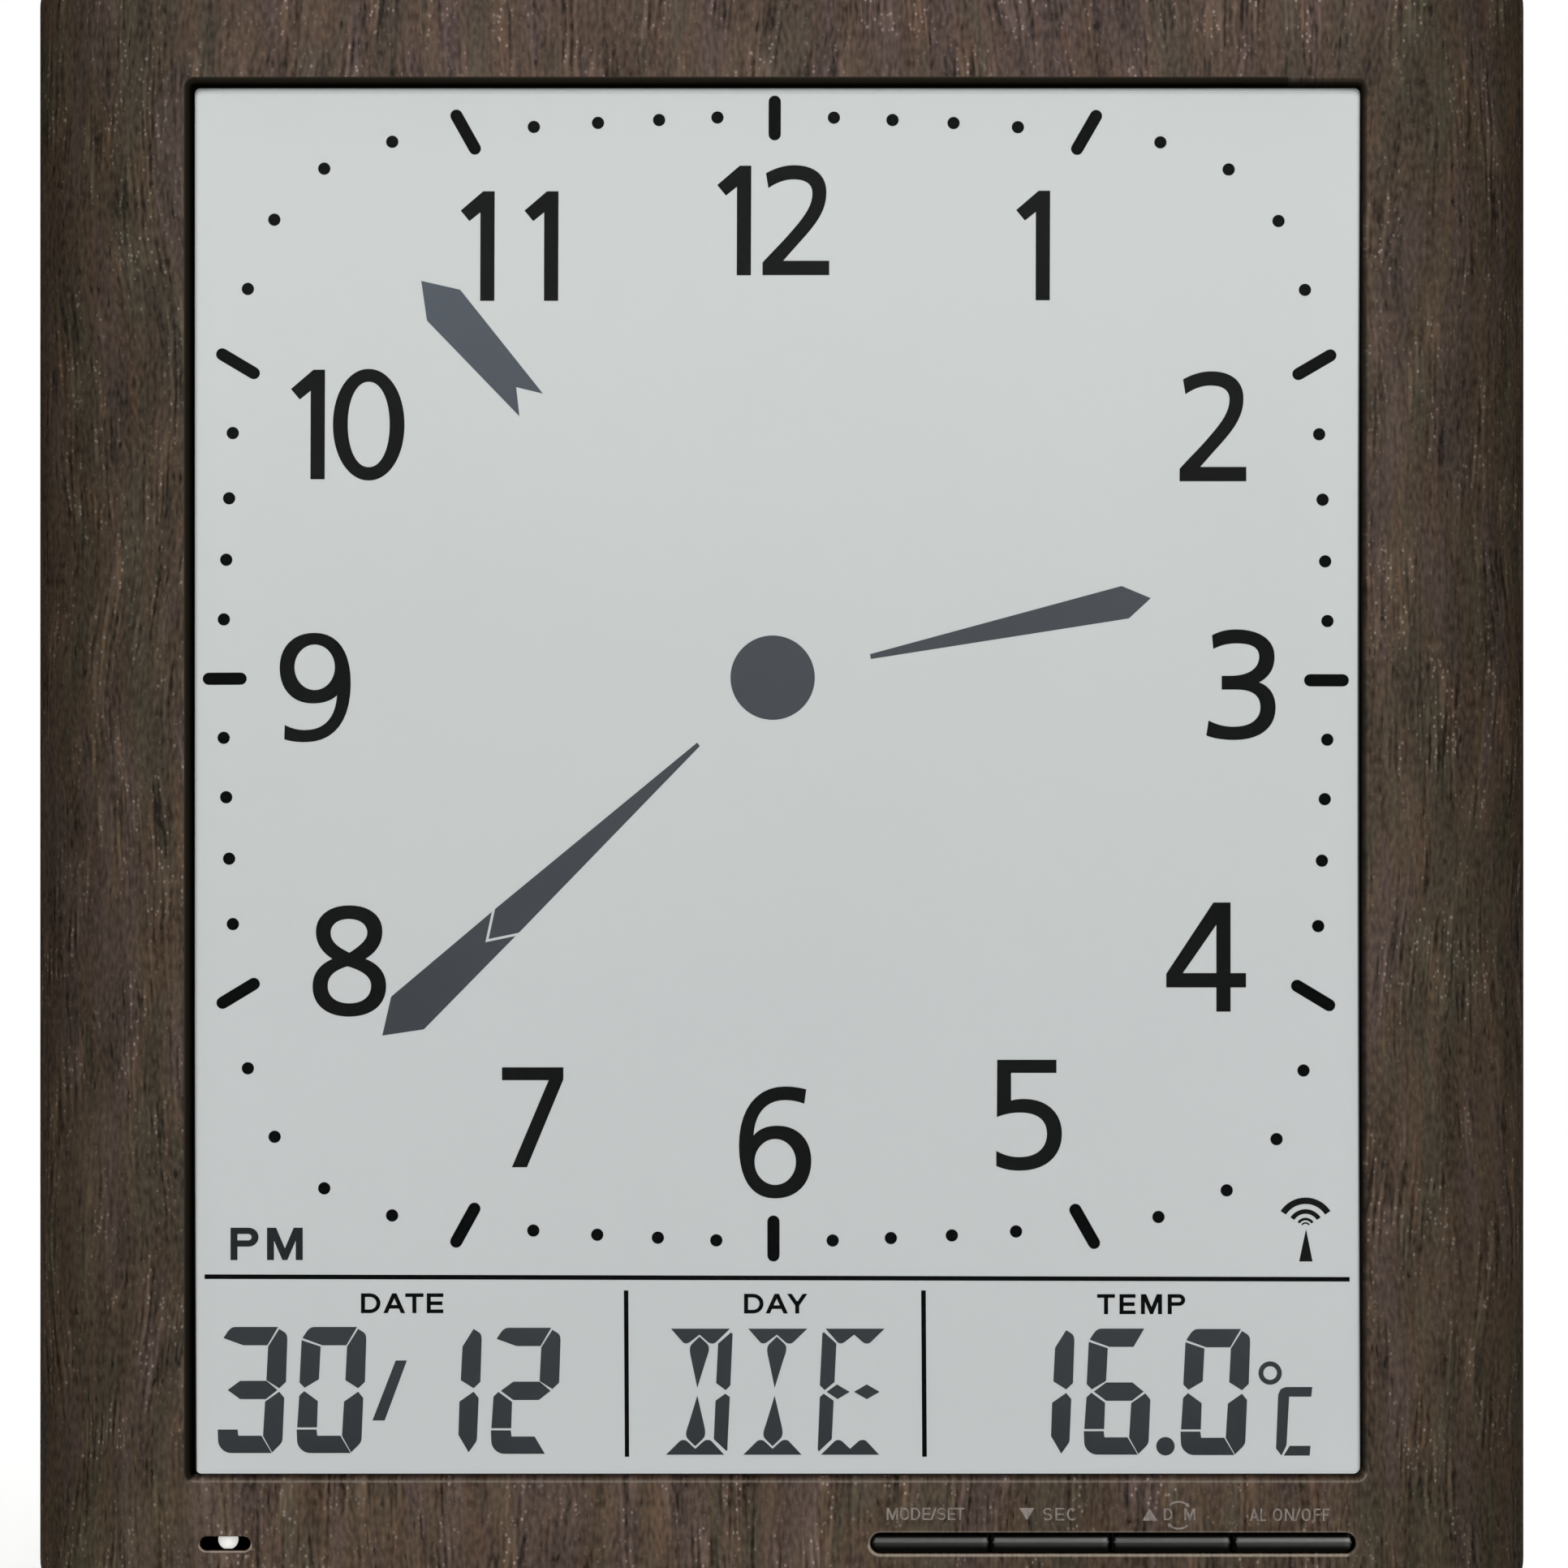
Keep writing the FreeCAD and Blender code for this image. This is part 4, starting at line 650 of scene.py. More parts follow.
SPRING = metal("contact_nickel", srgb(156, 156, 154), srgb(206, 206, 204), 0.28, (1.0, 0.2, 0.2))
CAN = metal("drawn_can", srgb(176, 177, 178), srgb(214, 215, 216), 0.26, (0.15, 1.0, 1.0))
BRASS = metal("buzzer_brass", srgb(176, 142, 72), srgb(214, 182, 108), 0.32, (1.0, 1.0, 0.1))
RESIN = chip_resin()
BOARD = board()
SLEEVE = cell_sleeve()
GREY_VINYL = vinyl("wire_grey", srgb(150, 150, 152), srgb(168, 168, 170))
BLACK_VINYL = vinyl("wire_black", srgb(20, 20, 21), srgb(34, 34, 35))
RED_VINYL = vinyl("wire_red", srgb(168, 24, 22), srgb(192, 40, 34))

FINISH = {
    "front_frame": wood_print(),
    "display_window": clear_window(),
    "window_gasket": foam(),
    "lcd_front_polariser": cell_front(),
    "lcd_front_glass": display_glass(),
    "lcd_reflector": reflector_film(),
    "lcd_bracket": BLACK_MOULD,
    "lcd_bracket_screws": STEEL,
    "zebra_connector": elastomer(),
    "main_pcb": BOARD,
    "main_pcb_screws": STEEL,
    "controller_chip": RESIN,
    "quartz_crystal": CAN,
    "smoothing_capacitor": CAN,
    "temperature_sensor": sensor_resin(),
    "rear_cover": BLACK_MOULD,
    "rear_cover_screws": STEEL,
    "battery_cell_upper": SLEEVE,
    "battery_cell_lower": SLEEVE,
    "battery_link_plate": SPRING,
    "battery_negative_plate": SPRING,
    "battery_positive_plate": SPRING,
    "battery_springs": SPRING,
    "battery_door": DOOR_MOULD,
    "stand_leg": FOOT,
    "wave_button": GREY,
    "reset_button": GREY,
    "antenna_rod": FERRITE,
    "antenna_coil": winding(),
    "antenna_holder": HOLDER,
    "receiver_pcb": BOARD,
    "receiver_chip": RESIN,
    "buzzer_plate": BRASS,
    "buzzer_ceramic": CERAMIC,
    "antenna_leads": GREY_VINYL,
    "battery_wire_red": RED_VINYL,
    "battery_wire_black": BLACK_VINYL,
    "buzzer_wires": BLACK_VINYL,
    "receiver_cable": GREY_VINYL,
}
FINISH["lcd_rear_glass"] = FINISH["lcd_front_glass"]
for name in nodes:
    if name.startswith("key_"):
        FINISH[name] = GLOSS
    elif name.startswith("switch_"):
        FINISH[name] = SWITCH
    elif name.startswith("plunger_"):
        FINISH[name] = PLUNGER
for name, obj in nodes.items():
    if not obj.material_slots:
        obj.data.materials.append(None)
    for s in obj.material_slots:
        s.material = FINISH[name]


# ---------------------------------------------------------------- outlines of the display and the print
# in pixels of the 1932 x 1932 frame, x to the right and y down; a shape is (solids, holes)
def path(d, n=10):
    """Closed outlines from a short path text: M, L and C with absolute points, Z closes."""
    out, cur, pos = [], [], None
    tok = d.replace(",", " ").split()
    i, cmd = 0, None
    while i < len(tok):
        if tok[i] in "MLCZ":
            cmd = tok[i]
            i += 1
            if cmd == "Z":
                out.append(cur)
                cur = []
            continue
        if cmd in "ML":
            pos = (float(tok[i]), float(tok[i + 1]))
            cur.append(pos)
            i += 2
            if cmd == "M":
                cmd = "L"
        else:
            p = [float(t) for t in tok[i:i + 6]]
            i += 6
            a, b, c, e = pos, (p[0], p[1]), (p[2], p[3]), (p[4], p[5])
            for k in range(1, n + 1):
                t = k / n
                u = 1 - t
                cur.append(tuple(u ** 3 * a[j] + 3 * u * u * t * b[j] + 3 * u * t * t * c[j] + t ** 3 * e[j]
                                 for j in (0, 1)))
            pos = e
    return out


def oval(cx, cy, rx, ry, n=48, p=2.0):
    pts = []
    for k in range(n):
        a = 2 * math.pi * k / n
        c, s = math.cos(a), math.sin(a)
        pts.append((cx + rx * math.copysign(abs(c) ** (2 / p), c), cy + ry * math.copysign(abs(s) ** (2 / p), s)))
    return pts


def moved(shape, dx, dy):
    s, h = shape
    m = lambda q: [[(x + dx, y + dy) for x, y in pts] for pts in q]
    return m(s), m(h)


def turned(shape, cx, cy):
    s, h = shape
    m = lambda q: [[(2 * cx - x, 2 * cy - y) for x, y in pts] for pts in q]
    return m(s), m(h)


ONE = (path("M 1252 258.8 L 1279.8 235 L 1294 235 L 1293.5 370 L 1276 370 L 1276.3 261 L 1262.8 271.8 Z"), [])
TWO = (path("""M 943.8 213.5 C 953 208 966 203.5 978.5 203.5 C 1004 203.5 1018.3 216 1018.3 237
    C 1018.3 262 1003 279 982 302 L 965 321.3 L 1021.7 321.3 L 1021.7 339 L 939.5 339 L 939.5 323.5
    C 950 312 958 304 966 295.5 C 988 271 1001 256 1001 238 C 1001 227 993 221 977.5 221
    C 966 221 955 226 946.7 231.8 Z"""), [])
THREE = (path("""M 1493.3 782.7 C 1502 778 1512 775.5 1523 775.5 C 1552 775.5 1570.5 788 1570.5 809
    C 1570.5 824 1564 834 1551.5 840.8 C 1564 845 1571.8 856 1571.8 872 C 1571.8 897 1552 911.8 1521 911.8
    C 1508 911.8 1496 910 1486.3 906.3 L 1489.2 887.7 C 1499 893 1509 895.5 1520 895.5
    C 1541 895.5 1553 886 1553 871.5 C 1553 857 1543 849.7 1524 849.7 L 1505.3 849.7 L 1505.3 832.7 L 1516 832.7
    C 1538 832.7 1551.5 824 1551.5 809 C 1551.5 798 1542 792.7 1524 792.7 C 1513 792.7 1504 795 1495 799.7 Z"""), [])
FOUR = (path("""M 1495 1112 L 1516.3 1112 L 1516.3 1199 L 1535.3 1199 L 1535.3 1216.7 L 1516.3 1216.7
    L 1516.3 1246.5 L 1498.7 1246.5 L 1498.7 1216.7 L 1437 1216.7 L 1437 1199.8 Z"""),
        path("M 1498.7 1139.5 L 1457.5 1199 L 1498.7 1199 Z"))
FIVE = (path("""M 1228.7 1305.8 L 1301.7 1305.8 L 1301.7 1322 L 1245.8 1322 L 1245.8 1356
    C 1251 1354.6 1256 1354 1262 1354 C 1290 1354 1308.5 1371 1308.5 1397 C 1308.5 1425 1288 1442.5 1256 1442.5
    C 1245 1442.5 1236 1440.5 1227.5 1436.7 L 1227.5 1418 C 1237 1423.3 1246 1425.8 1256 1425.8
    C 1277 1425.8 1290 1415 1290 1397 C 1290 1380 1278 1370.8 1257 1370.8 C 1246 1370.8 1237 1373 1228.2 1376.5 Z"""), [])
SIX = (path("""M 993.5 1342.3 C 985 1340 976 1338.7 967 1338.7 C 932 1338.7 910.5 1367 910.5 1411
    C 910.5 1453 926 1476.7 955 1476.7 C 982 1476.7 999.7 1458 999.7 1430.5 C 999.7 1404 983 1387 958 1387
    C 945 1387 935 1391 928.5 1399 C 930 1372 944 1355.5 967 1355.5 C 975 1355.5 983 1357 991 1360 Z"""),
       [oval(955.2, 1431.7, 25.5, 28.3)])
SEVEN = (path("""M 618.5 1315.1 L 694.2 1315.1 L 694.2 1330 L 649.3 1438.3 L 630.7 1438.3 L 676 1331
    L 618.5 1331 Z"""), [])
EIGHT = (path("""M 430.5 1115.5 C 455 1115.5 471.2 1128 471.2 1147.5 C 471.2 1162 464 1173 450.5 1181.5
    C 467 1188 475.8 1199 475.8 1215.5 C 475.8 1238 458 1252.7 430 1252.7 C 402 1252.7 385.1 1238 385.1 1216
    C 385.1 1200 393 1188.5 409.5 1181.5 C 396 1173 389.2 1162 389.2 1148 C 389.2 1128 406 1115.5 430.5 1115.5 Z"""),
         path("""M 430 1132.3 C 443 1132.3 452.5 1139 452.5 1149 C 452.5 1158 444 1165 430.6 1173.9
    C 416 1167 407.4 1160 407.4 1149.5 C 407.4 1139 416.5 1132.3 430 1132.3 Z
    M 428.1 1190.6 C 446 1196 457.2 1203 457.2 1214.5 C 457.2 1228 447 1236.3 430.5 1236.3
    C 414 1236.3 403.8 1228 403.8 1215 C 403.8 1203 411 1196 428.1 1190.6 Z"""))
NINE = (path("""M 350.8 893.2 C 359 897.5 367 899.5 376 899.5 C 400 899.5 413.5 884 415.2 856.9
    C 408 863.5 398 866.8 385 866.8 C 360 866.8 344.5 849 344.5 823 C 344.5 797 361 779.7 387.5 779.7
    C 416 779.7 432.2 802 432.2 842 C 432.2 888 412 914.5 376 914.5 C 366.5 914.5 358 913.5 350.2 911 Z"""),
        [oval(387.7, 822.2, 24.9, 28.0)])
ZERO = ([oval(454.3, 523.3, 44.1, 68.8, 64, 2.05)], [oval(454.3, 523.0, 25.8, 52.6, 64, 2.12)])

NUMERALS = {
    "numeral_12": [moved(ONE, -368.3, -30.8), TWO],
    "numeral_1": [ONE],
    "numeral_2": [moved(TWO, 513.9, 254.0)],
    "numeral_3": [THREE],
    "numeral_4": [FOUR],
    "numeral_5": [FIVE],
    "numeral_6": [SIX],
    "numeral_7": [SEVEN],
    "numeral_8": [EIGHT],
    "numeral_9": [NINE],
    "numeral_10": [moved(ONE, -893.5, 220.5), ZERO],
    "numeral_11": [moved(ONE, -684.4, 0.7), moved(ONE, -605.8, 0.7)],
}


def bar(x0, y0, x1, y1, w, n=8):
    """Straight bar with round ends."""
    a = math.atan2(y1 - y0, x1 - x0)
    pts = []
    for cx, cy, s in ((x1, y1, -math.pi / 2), (x0, y0, math.pi / 2)):
        for k in range(n + 1):
            t = a + s + math.pi * k / n
            pts.append((cx + w / 2 * math.cos(t), cy + w / 2 * math.sin(t)))
    return pts


HOURS = [(954.6, 125.3, 954.5, 165.5), (1350.5, 142.9, 1327.2, 183.4), (1639.2, 437.9, 1599.8, 460.9),
         (1614.3, 838.2, 1654.5, 838.3), (1598.2, 1214.7, 1637.8, 1238.5), (1325, 1490.7, 1348, 1531.4),
         (953, 1505.1, 953, 1546.9), (584.5, 1489.3, 562.1, 1529.9), (312.7, 1212.3, 274.2, 1235.6),
         (257.3, 836.4, 296.5, 836.2), (273.8, 436.6, 312.7, 459.7), (562.4, 142.5, 585.1, 183.1)]
DOTS = [(1027.5, 145), (1099.7, 147.9), (1174.9, 151.6), (1254.2, 156.7), (884, 144.8), (812.1, 147.9), (736.8, 151.4),
        (657.8, 156.4), (1429.8, 175.4), (1513.9, 208.8), (1575.3, 272.3), (1607.9, 357.2), (483.3, 174.7), (399.5, 207.8),
        (338, 270.7), (305.4, 356), (1625.4, 535.1), (1629.6, 615.7), (1632.8, 691.7), (1635.6, 765.2), (286.8, 533.6),
        (282.3, 614), (278.8, 689.7), (275.8, 763.2), (1635.4, 911.4), (1632.3, 984.7), (1628.8, 1060.5), (1624.2, 1141.1),
        (275.6, 909.1), (278.7, 982.3), (282.3, 1058), (286.9, 1138.6), (1606.1, 1319), (1572.9, 1403.6), (1511.5, 1466.7),
        (1427.4, 1499.5), (305.4, 1316.3), (338.4, 1400.7), (399.5, 1464.2), (483.1, 1497.6), (1251.9, 1517.3),
        (1172.8, 1522.2), (1097.7, 1525.5), (1026, 1528.5), (657.1, 1516.2), (735.9, 1521.4), (810.6, 1525), (882.6, 1528.3)]
TICKS = ([bar(*h, 15.1) for h in HOURS] + [oval(x, y, 7.6, 7.6, 28) for x, y in DOTS], [])

LINES = ([[(252, 1570.2), (1663, 1573.5), (1663, 1579.1), (252, 1575.9)],
          [(768.7, 1590), (774.2, 1590), (775.2, 1795), (769.9, 1795)],
          [(1135, 1590), (1140.7, 1590), (1142, 1795), (1136.3, 1795)]], [])

HANDS = {
    "hand_hub": [oval(952, 835, 52, 52, 72)],
    "hand_hour": [[(1072, 806), (1382, 722), (1418, 737), (1391, 762), (1073, 812)]],
    "hand_minute_inner": [[(859, 915), (862.3, 919.3), (639.3, 1149.3), (602, 1157), (610, 1120)]],
    "hand_minute_tip": [[(606, 1123.5), (598, 1161), (635.3, 1153.3), (522.3, 1268.3), (471, 1276), (482, 1228)]],
    "hand_far": [[(519, 346), (567, 357), (669, 485), (636, 477), (640, 513), (526, 395)]],
}

# ---- segments of the lower strip, from the first date digit
A = [(275.3, 1648.7), (280, 1641.5), (290, 1635), (342.7, 1635), (329.5, 1657.6), (299.8, 1657.6)]
B = [(344, 1637.4), (350.5, 1641.5), (354, 1652.6), (352.4, 1702.7), (344, 1710.6), (328.2, 1700.6), (330.3, 1659.2)]
G = [(280.5, 1712.7), (295.8, 1701.4), (328.2, 1701.4), (341.9, 1712.7), (327.4, 1724), (295.8, 1724)]
C = [(344, 1714.8), (350.3, 1722.4), (348.2, 1772.5), (344, 1781), (335.3, 1789.6), (324, 1769.3), (326.6, 1726.9)]
Dd = [(268.2, 1761.4), (292.7, 1761.4), (293.7, 1769), (322.1, 1769), (334.8, 1790.4), (285.3, 1790.4), (274, 1786), (268.7, 1775)]
F = [(274.3, 1651.3), (297.8, 1659.2), (295.7, 1699.5), (278, 1710), (271.7, 1703.5)]
E = [(277.5, 1714), (294.4, 1726.4), (293.3, 1758.8), (268.8, 1758.8), (271.4, 1719.8)]


def sh(p, dx, dy=0.0):
    return [(x + dx, y + dy) for x, y in p]


def eased(p, short=18.0):
    """The short edges between two blunt corners become arcs, as on a segment with a round corner."""
    n = len(p)
    way = [(p[(i + 1) % n][0] - p[i][0], p[(i + 1) % n][1] - p[i][1]) for i in range(n)]
    far = [math.hypot(*d) for d in way]
    way = [(d[0] / q, d[1] / q) for d, q in zip(way, far)]
    blunt = [way[i - 1][0] * way[i][0] + way[i - 1][1] * way[i][1] > 0.64 for i in range(n)]
    arc = [far[i] < short and blunt[i] and blunt[(i + 1) % n] for i in range(n)]
    out = []
    for i in range(n):
        a, b = p[i], p[(i + 1) % n]
        out.append(a)
        if not arc[i]:
            continue
        before, after = way[i - 1], way[(i + 1) % n]
        if arc[i - 1]:
            before = (before[0] + way[i][0], before[1] + way[i][1])
        if arc[(i + 1) % n]:
            after = (after[0] + way[i][0], after[1] + way[i][1])
        k0, k1 = (far[i] * 0.36 / math.hypot(*d) for d in (before, after))
        c, d = (a[0] + before[0] * k0, a[1] + before[1] * k0), (b[0] - after[0] * k1, b[1] - after[1] * k1)
        for k in range(1, 6):
            t = k / 6
            s = 1 - t
            out.append(tuple(s ** 3 * a[j] + 3 * s * s * t * c[j] + 3 * s * t * t * d[j] + t ** 3 * b[j] for j in (0, 1)))
    return out


DATE = [A, B, G, C, Dd]
DATE += [sh(p, 97.3) for p in (A, B, F, E, C, Dd)]
C1 = [(344, 1714.8), (350.3, 1722.4), (348.2, 1772.5), (344, 1781), (337.9, 1789.6), (325.3, 1768), (326.6, 1726.9)]
DATE += [sh(B, 239.5), sh(C1, 239.5)]
DATE += [sh(p, 336.6, 1) for p in (A, B, G, E, Dd)]
DATE += [[(487.5, 1676.3), (501.4, 1676.3), (474, 1750.3), (458.8, 1750.3)]]
DATE = [eased(p) for p in DATE]

TOP_D = [(826.6, 1637.1), (899.5, 1637.1), (882.4, 1653.7), (872.4, 1653.7), (861.9, 1644.5), (850, 1653.7), (841.1, 1653.7)]
LEAF_U = [(861.9, 1646.9), (871.1, 1655.5), (870, 1675.3), (859.2, 1710.1), (851.9, 1675.3), (852.9, 1655.5)]
LEAF_L = [(859.2, 1719.5), (866.9, 1753), (865.8, 1773.3), (856.6, 1782), (847.7, 1773.3), (849, 1753)]
BOT_D = [(820.5, 1792.5), (892.4, 1792.5), (877.1, 1776.1), (866.6, 1776.1), (856.6, 1785.1), (846.9, 1776.1), (837.1, 1776.1)]
RU_D = [(900.8, 1641.6), (902.7, 1643.7), (900, 1706.9), (894.3, 1712.9), (882.4, 1704.3), (884.8, 1655.5)]
RL_D = [(893.7, 1717.2), (899.3, 1721.4), (896.1, 1787.2), (894.8, 1787.7), (879.5, 1773.3), (881.6, 1725.8)]
DAY = [TOP_D, LEAF_U, LEAF_L, BOT_D, RU_D, RL_D]
DAY += [sh(p, 95.3) for p in (TOP_D, LEAF_U, LEAF_L, BOT_D)]
DAY += [sh(TOP_D, 190.6),
        [(1015.4, 1641.6), (1030.6, 1655.5), (1028.3, 1702.9), (1016.2, 1712.9), (1010.1, 1706.9), (1013.3, 1642.4)],
        [(1014.9, 1717.2), (1027.2, 1725.8), (1024.9, 1773.3), (1008.8, 1788.5), (1007.5, 1785.9), (1010.1, 1721.4)],
        [(1018.5, 1715), (1031.2, 1705.8), (1047, 1715), (1032, 1724)],
        [(1052.2, 1715), (1068, 1705.8), (1084, 1715), (1068, 1724)],
        sh(BOT_D, 190.9)]
DAY = [eased(p, 24.0) for p in DAY]

TEMP = [sh(B, 969.7, 1.5), sh(C1, 969.7, 1.5)]
TEMP += [sh(p, 1067.2, 2) for p in (A, F, G, E, C, Dd)]
TEMP += [sh(p, 1186.3, 2.5) for p in (A, B, F, E, C, Dd)]
TEMP = [eased(p) for p in TEMP]
TEMP += [oval(1436, 1782, 11.4, 11.4, 28)]
TEMP += [[(1617, 1709), (1615.6, 1720.9), (1588.5, 1720.9), (1585.2, 1780.7), (1579, 1793.5), (1572.2, 1784.8),
          (1574.9, 1718.2), (1578, 1711.5), (1584.4, 1709)],
         [(1581.7, 1793.5), (1589, 1781.5), (1614.8, 1781.5), (1613.7, 1793.5)]]
DEGREE = ([oval(1565, 1691.8, 14.4, 14.4, 36)], [oval(1565, 1691.8, 8.4, 8.4, 28)])


def fan(cx, cy, r1, r0, half, n=16):
    pts = [(cx + r1 * math.sin(t), cy - r1 * math.cos(t)) for t in
           [math.radians(-half + 2 * half * k / n) for k in range(n + 1)]]
    pts += [(cx + r0 * math.sin(t), cy - r0 * math.cos(t)) for t in
            [math.radians(half - 2 * half * k / n) for k in range(n + 1)]]
    return pts


RADIO = [fan(1608.6, 1512.2, r1, r0, 57) for r1, r0 in ((36.7, 28.7), (22.3, 16.6), (11.8, 8.5), (6.3, 4.4))]
RADIO += [[(1609.2, 1514.4), (1617.3, 1554.4), (1600.7, 1554.4)]]


# ---- capitals of even stroke, drawn in the box x0..x1, y0..y1 (y down) with stroke t
def letter(ch, x0, x1, y0, y1, t):
    w, h = x1 - x0, y1 - y0
    R = lambda a, b, c, d: [(a, b), (c, b), (c, d), (a, d)]
    v = t * 0.9                                  # horizontal strokes a little thinner
    if ch == "E":
        m = (y0 + y1) / 2
        return [R(x0, y0, x0 + t, y1), R(x0, y0, x1, y0 + v), R(x0, m - v / 2, x1 - w * 0.06, m + v / 2), R(x0, y1 - v, x1, y1)], []
    if ch == "F":
        m = (y0 + y1) / 2
        return [R(x0, y0, x0 + t, y1), R(x0, y0, x1, y0 + v), R(x0, m - v / 2, x1 - w * 0.12, m + v / 2)], []
    if ch == "L":
        return [R(x0, y0, x0 + t, y1), R(x0, y1 - v, x1, y1)], []
    if ch == "T":
        m = (x0 + x1) / 2
        return [R(x0, y0, x1, y0 + v), R(m - t / 2, y0, m + t / 2, y1)], []
    if ch == "A":
        k = t * 1.08
        m = (x0 + x1) / 2
        apex = y0 + h * (1 - (w / 2 - k) / (w / 2 - k / 2))
        yb0, yb1 = y1 - h * 0.23 - v, y1 - h * 0.23
        at = lambda y: (y1 - y) / h * (w / 2 - k / 2)
        return [[(x0, y1), (m - k / 2, y0), (m + k / 2, y0), (x1, y1), (x1 - k, y1), (m, apex), (x0 + k, y1)],
                [(x0 + at(yb0) + k * 0.5, yb0), (x1 - at(yb0) - k * 0.5, yb0),
                 (x1 - at(yb1) - k * 0.5, yb1), (x0 + at(yb1) + k * 0.5, yb1)]], []
    if ch in "DP":
        yb = y1 if ch == "D" else y0 + h * 0.585

        def bowl(a, b, c, d):
            r = (d - b) / 2
            q = 0.56 if ch == "D" else 0.62
            s = min(r * 1.05, (c - a) * q)
            e = []
            for k in range(13):
                an = -math.pi / 2 + math.pi * k / 12
                e.append((c - s + s * math.cos(an), (b + d) / 2 + r * math.sin(an)))
            return [(a, b)] + e + [(a, d)]
        solids = [bowl(x0, y0, x1, yb)]
        if ch == "P":
            solids.append(R(x0, y0, x0 + t, y1))
        return solids, [bowl(x0 + t, y0 + v, x1 - t, yb - v)]
    if ch == "M":
        m = (x0 + x1) / 2
        return [R(x0, y0, x0 + t, y1), R(x1 - t, y0, x1, y1),
                [(x0 + t * 0.2, y0), (x0 + t * 1.3, y0), (m, y1 - h * 0.36), (x1 - t * 1.3, y0), (x1 - t * 0.2, y0), (m + t * 0.36, y1), (m - t * 0.36, y1)]], []
    if ch == "N":
        return [R(x0, y0, x0 + t, y1), R(x1 - t, y0, x1, y1), [(x0, y0), (x0 + t * 1.2, y0), (x1, y1), (x1 - t * 1.2, y1)]], []
    if ch == "Y":
        m = (x0 + x1) / 2
        ym = y0 + h * 0.56
        return [R(m - t / 2, ym - v, m + t / 2, y1),
                [(x0, y0), (x0 + t * 1.15, y0), (m, ym - t * 0.75), (x1 - t * 1.15, y0), (x1, y0), (m + t / 2, ym + t * 0.2), (m - t / 2, ym + t * 0.2)]], []
    if ch == "O":
        return [oval((x0 + x1) / 2, (y0 + y1) / 2, w / 2, h / 2, 36, 2.3)], [oval((x0 + x1) / 2, (y0 + y1) / 2, w / 2 - t, h / 2 - v, 30, 2.2)]
    if ch == "/":
        return [[(x0, y1), (x1 - t, y0), (x1, y0), (x0 + t, y1)]], []
    if ch == "C":
        pts, n = [], 22
        cx, cy = (x0 + x1) / 2, (y0 + y1) / 2
        for k in range(n + 1):
            a = math.radians(48 + (360 - 96) * k / n)
            pts.append((cx + w / 2 * math.cos(a), cy - h / 2 * math.sin(a)))
        for k in range(n, -1, -1):
            a = math.radians(48 + (360 - 96) * k / n)
            pts.append((cx + (w / 2 - t) * math.cos(a), cy - (h / 2 - v) * math.sin(a)))
        return [pts], []
    if ch == "S":
        cx, q = (x0 + x1) / 2, h / 4
        r = q - v / 4
        line = []
        for k in range(13):
            a = math.radians(20 + 250 * k / 12)
            line.append((cx + (w / 2 - t / 2) * math.cos(a), y0 + v / 2 + r - (r) * math.sin(a)))
        for k in range(13):
            a = math.radians(90 - 250 * k / 12)
            line.append((cx + (w / 2 - t / 2) * math.cos(a), y1 - v / 2 - r - (r) * math.sin(a)))
        return [stroke(line, v)], []
    raise ValueError(ch)


def stroke(line, w):
    """Outline of an open polyline of width w with mitred corners."""
    L, Rr = [], []
    n = len(line)
    for i, (x, y) in enumerate(line):
        a = line[max(i - 1, 0)]
        b = line[min(i + 1, n - 1)]
        dx, dy = b[0] - a[0], b[1] - a[1]
        q = math.hypot(dx, dy) or 1.0
        nx, ny = -dy / q * w / 2, dx / q * w / 2
        L.append((x + nx, y + ny))
        Rr.append((x - nx, y - ny))
    return L + Rr[::-1]


def word(spec, y0, y1, t):
    """spec: (letter, x0, x1) each."""
    return [letter(c, a, b, y0, y1, t) for c, a, b in spec]


LABELS_LCD = {
    "label_pm": word([("P", 284, 318.6), ("M", 329, 373)], 1512.7, 1552.6, 8.6),
    "label_date": word([("D", 444.8, 468.8), ("A", 472.3, 499.3), ("T", 499.3, 521.8), ("E", 525.8, 546.3)], 1593.6, 1618, 5.0),
    "label_day": word([("D", 916.8, 940.8), ("A", 943.3, 970.8), ("Y", 969.8, 994.8)], 1594.2, 1618.4, 5.0),
    "label_temp": word([("T", 1351.8, 1373.8), ("E", 1379.4, 1399.2), ("M", 1405.8, 1431.8), ("P", 1438.8, 1460.4)], 1594.6, 1619.2, 5.0),
}


def turn_arrow(cx, cy, r, w, half):
    """One of two arrows that chase each other round a circle."""
    body = fan(cx, cy, r + w / 2, r - w / 2, half)
    a = math.radians(half)
    px, py = cx + r * math.sin(a), cy - r * math.cos(a)
    tx, ty = math.cos(a), math.sin(a)
    nx, ny = math.sin(a), -math.cos(a)
    k = w * 1.25
    head = [(px + nx * k - tx * 1.2, py + ny * k - ty * 1.2), (px + tx * 3.6, py + ty * 3.6), (px - nx * k - tx * 1.2, py - ny * k - ty * 1.2)]
    return [body, head]


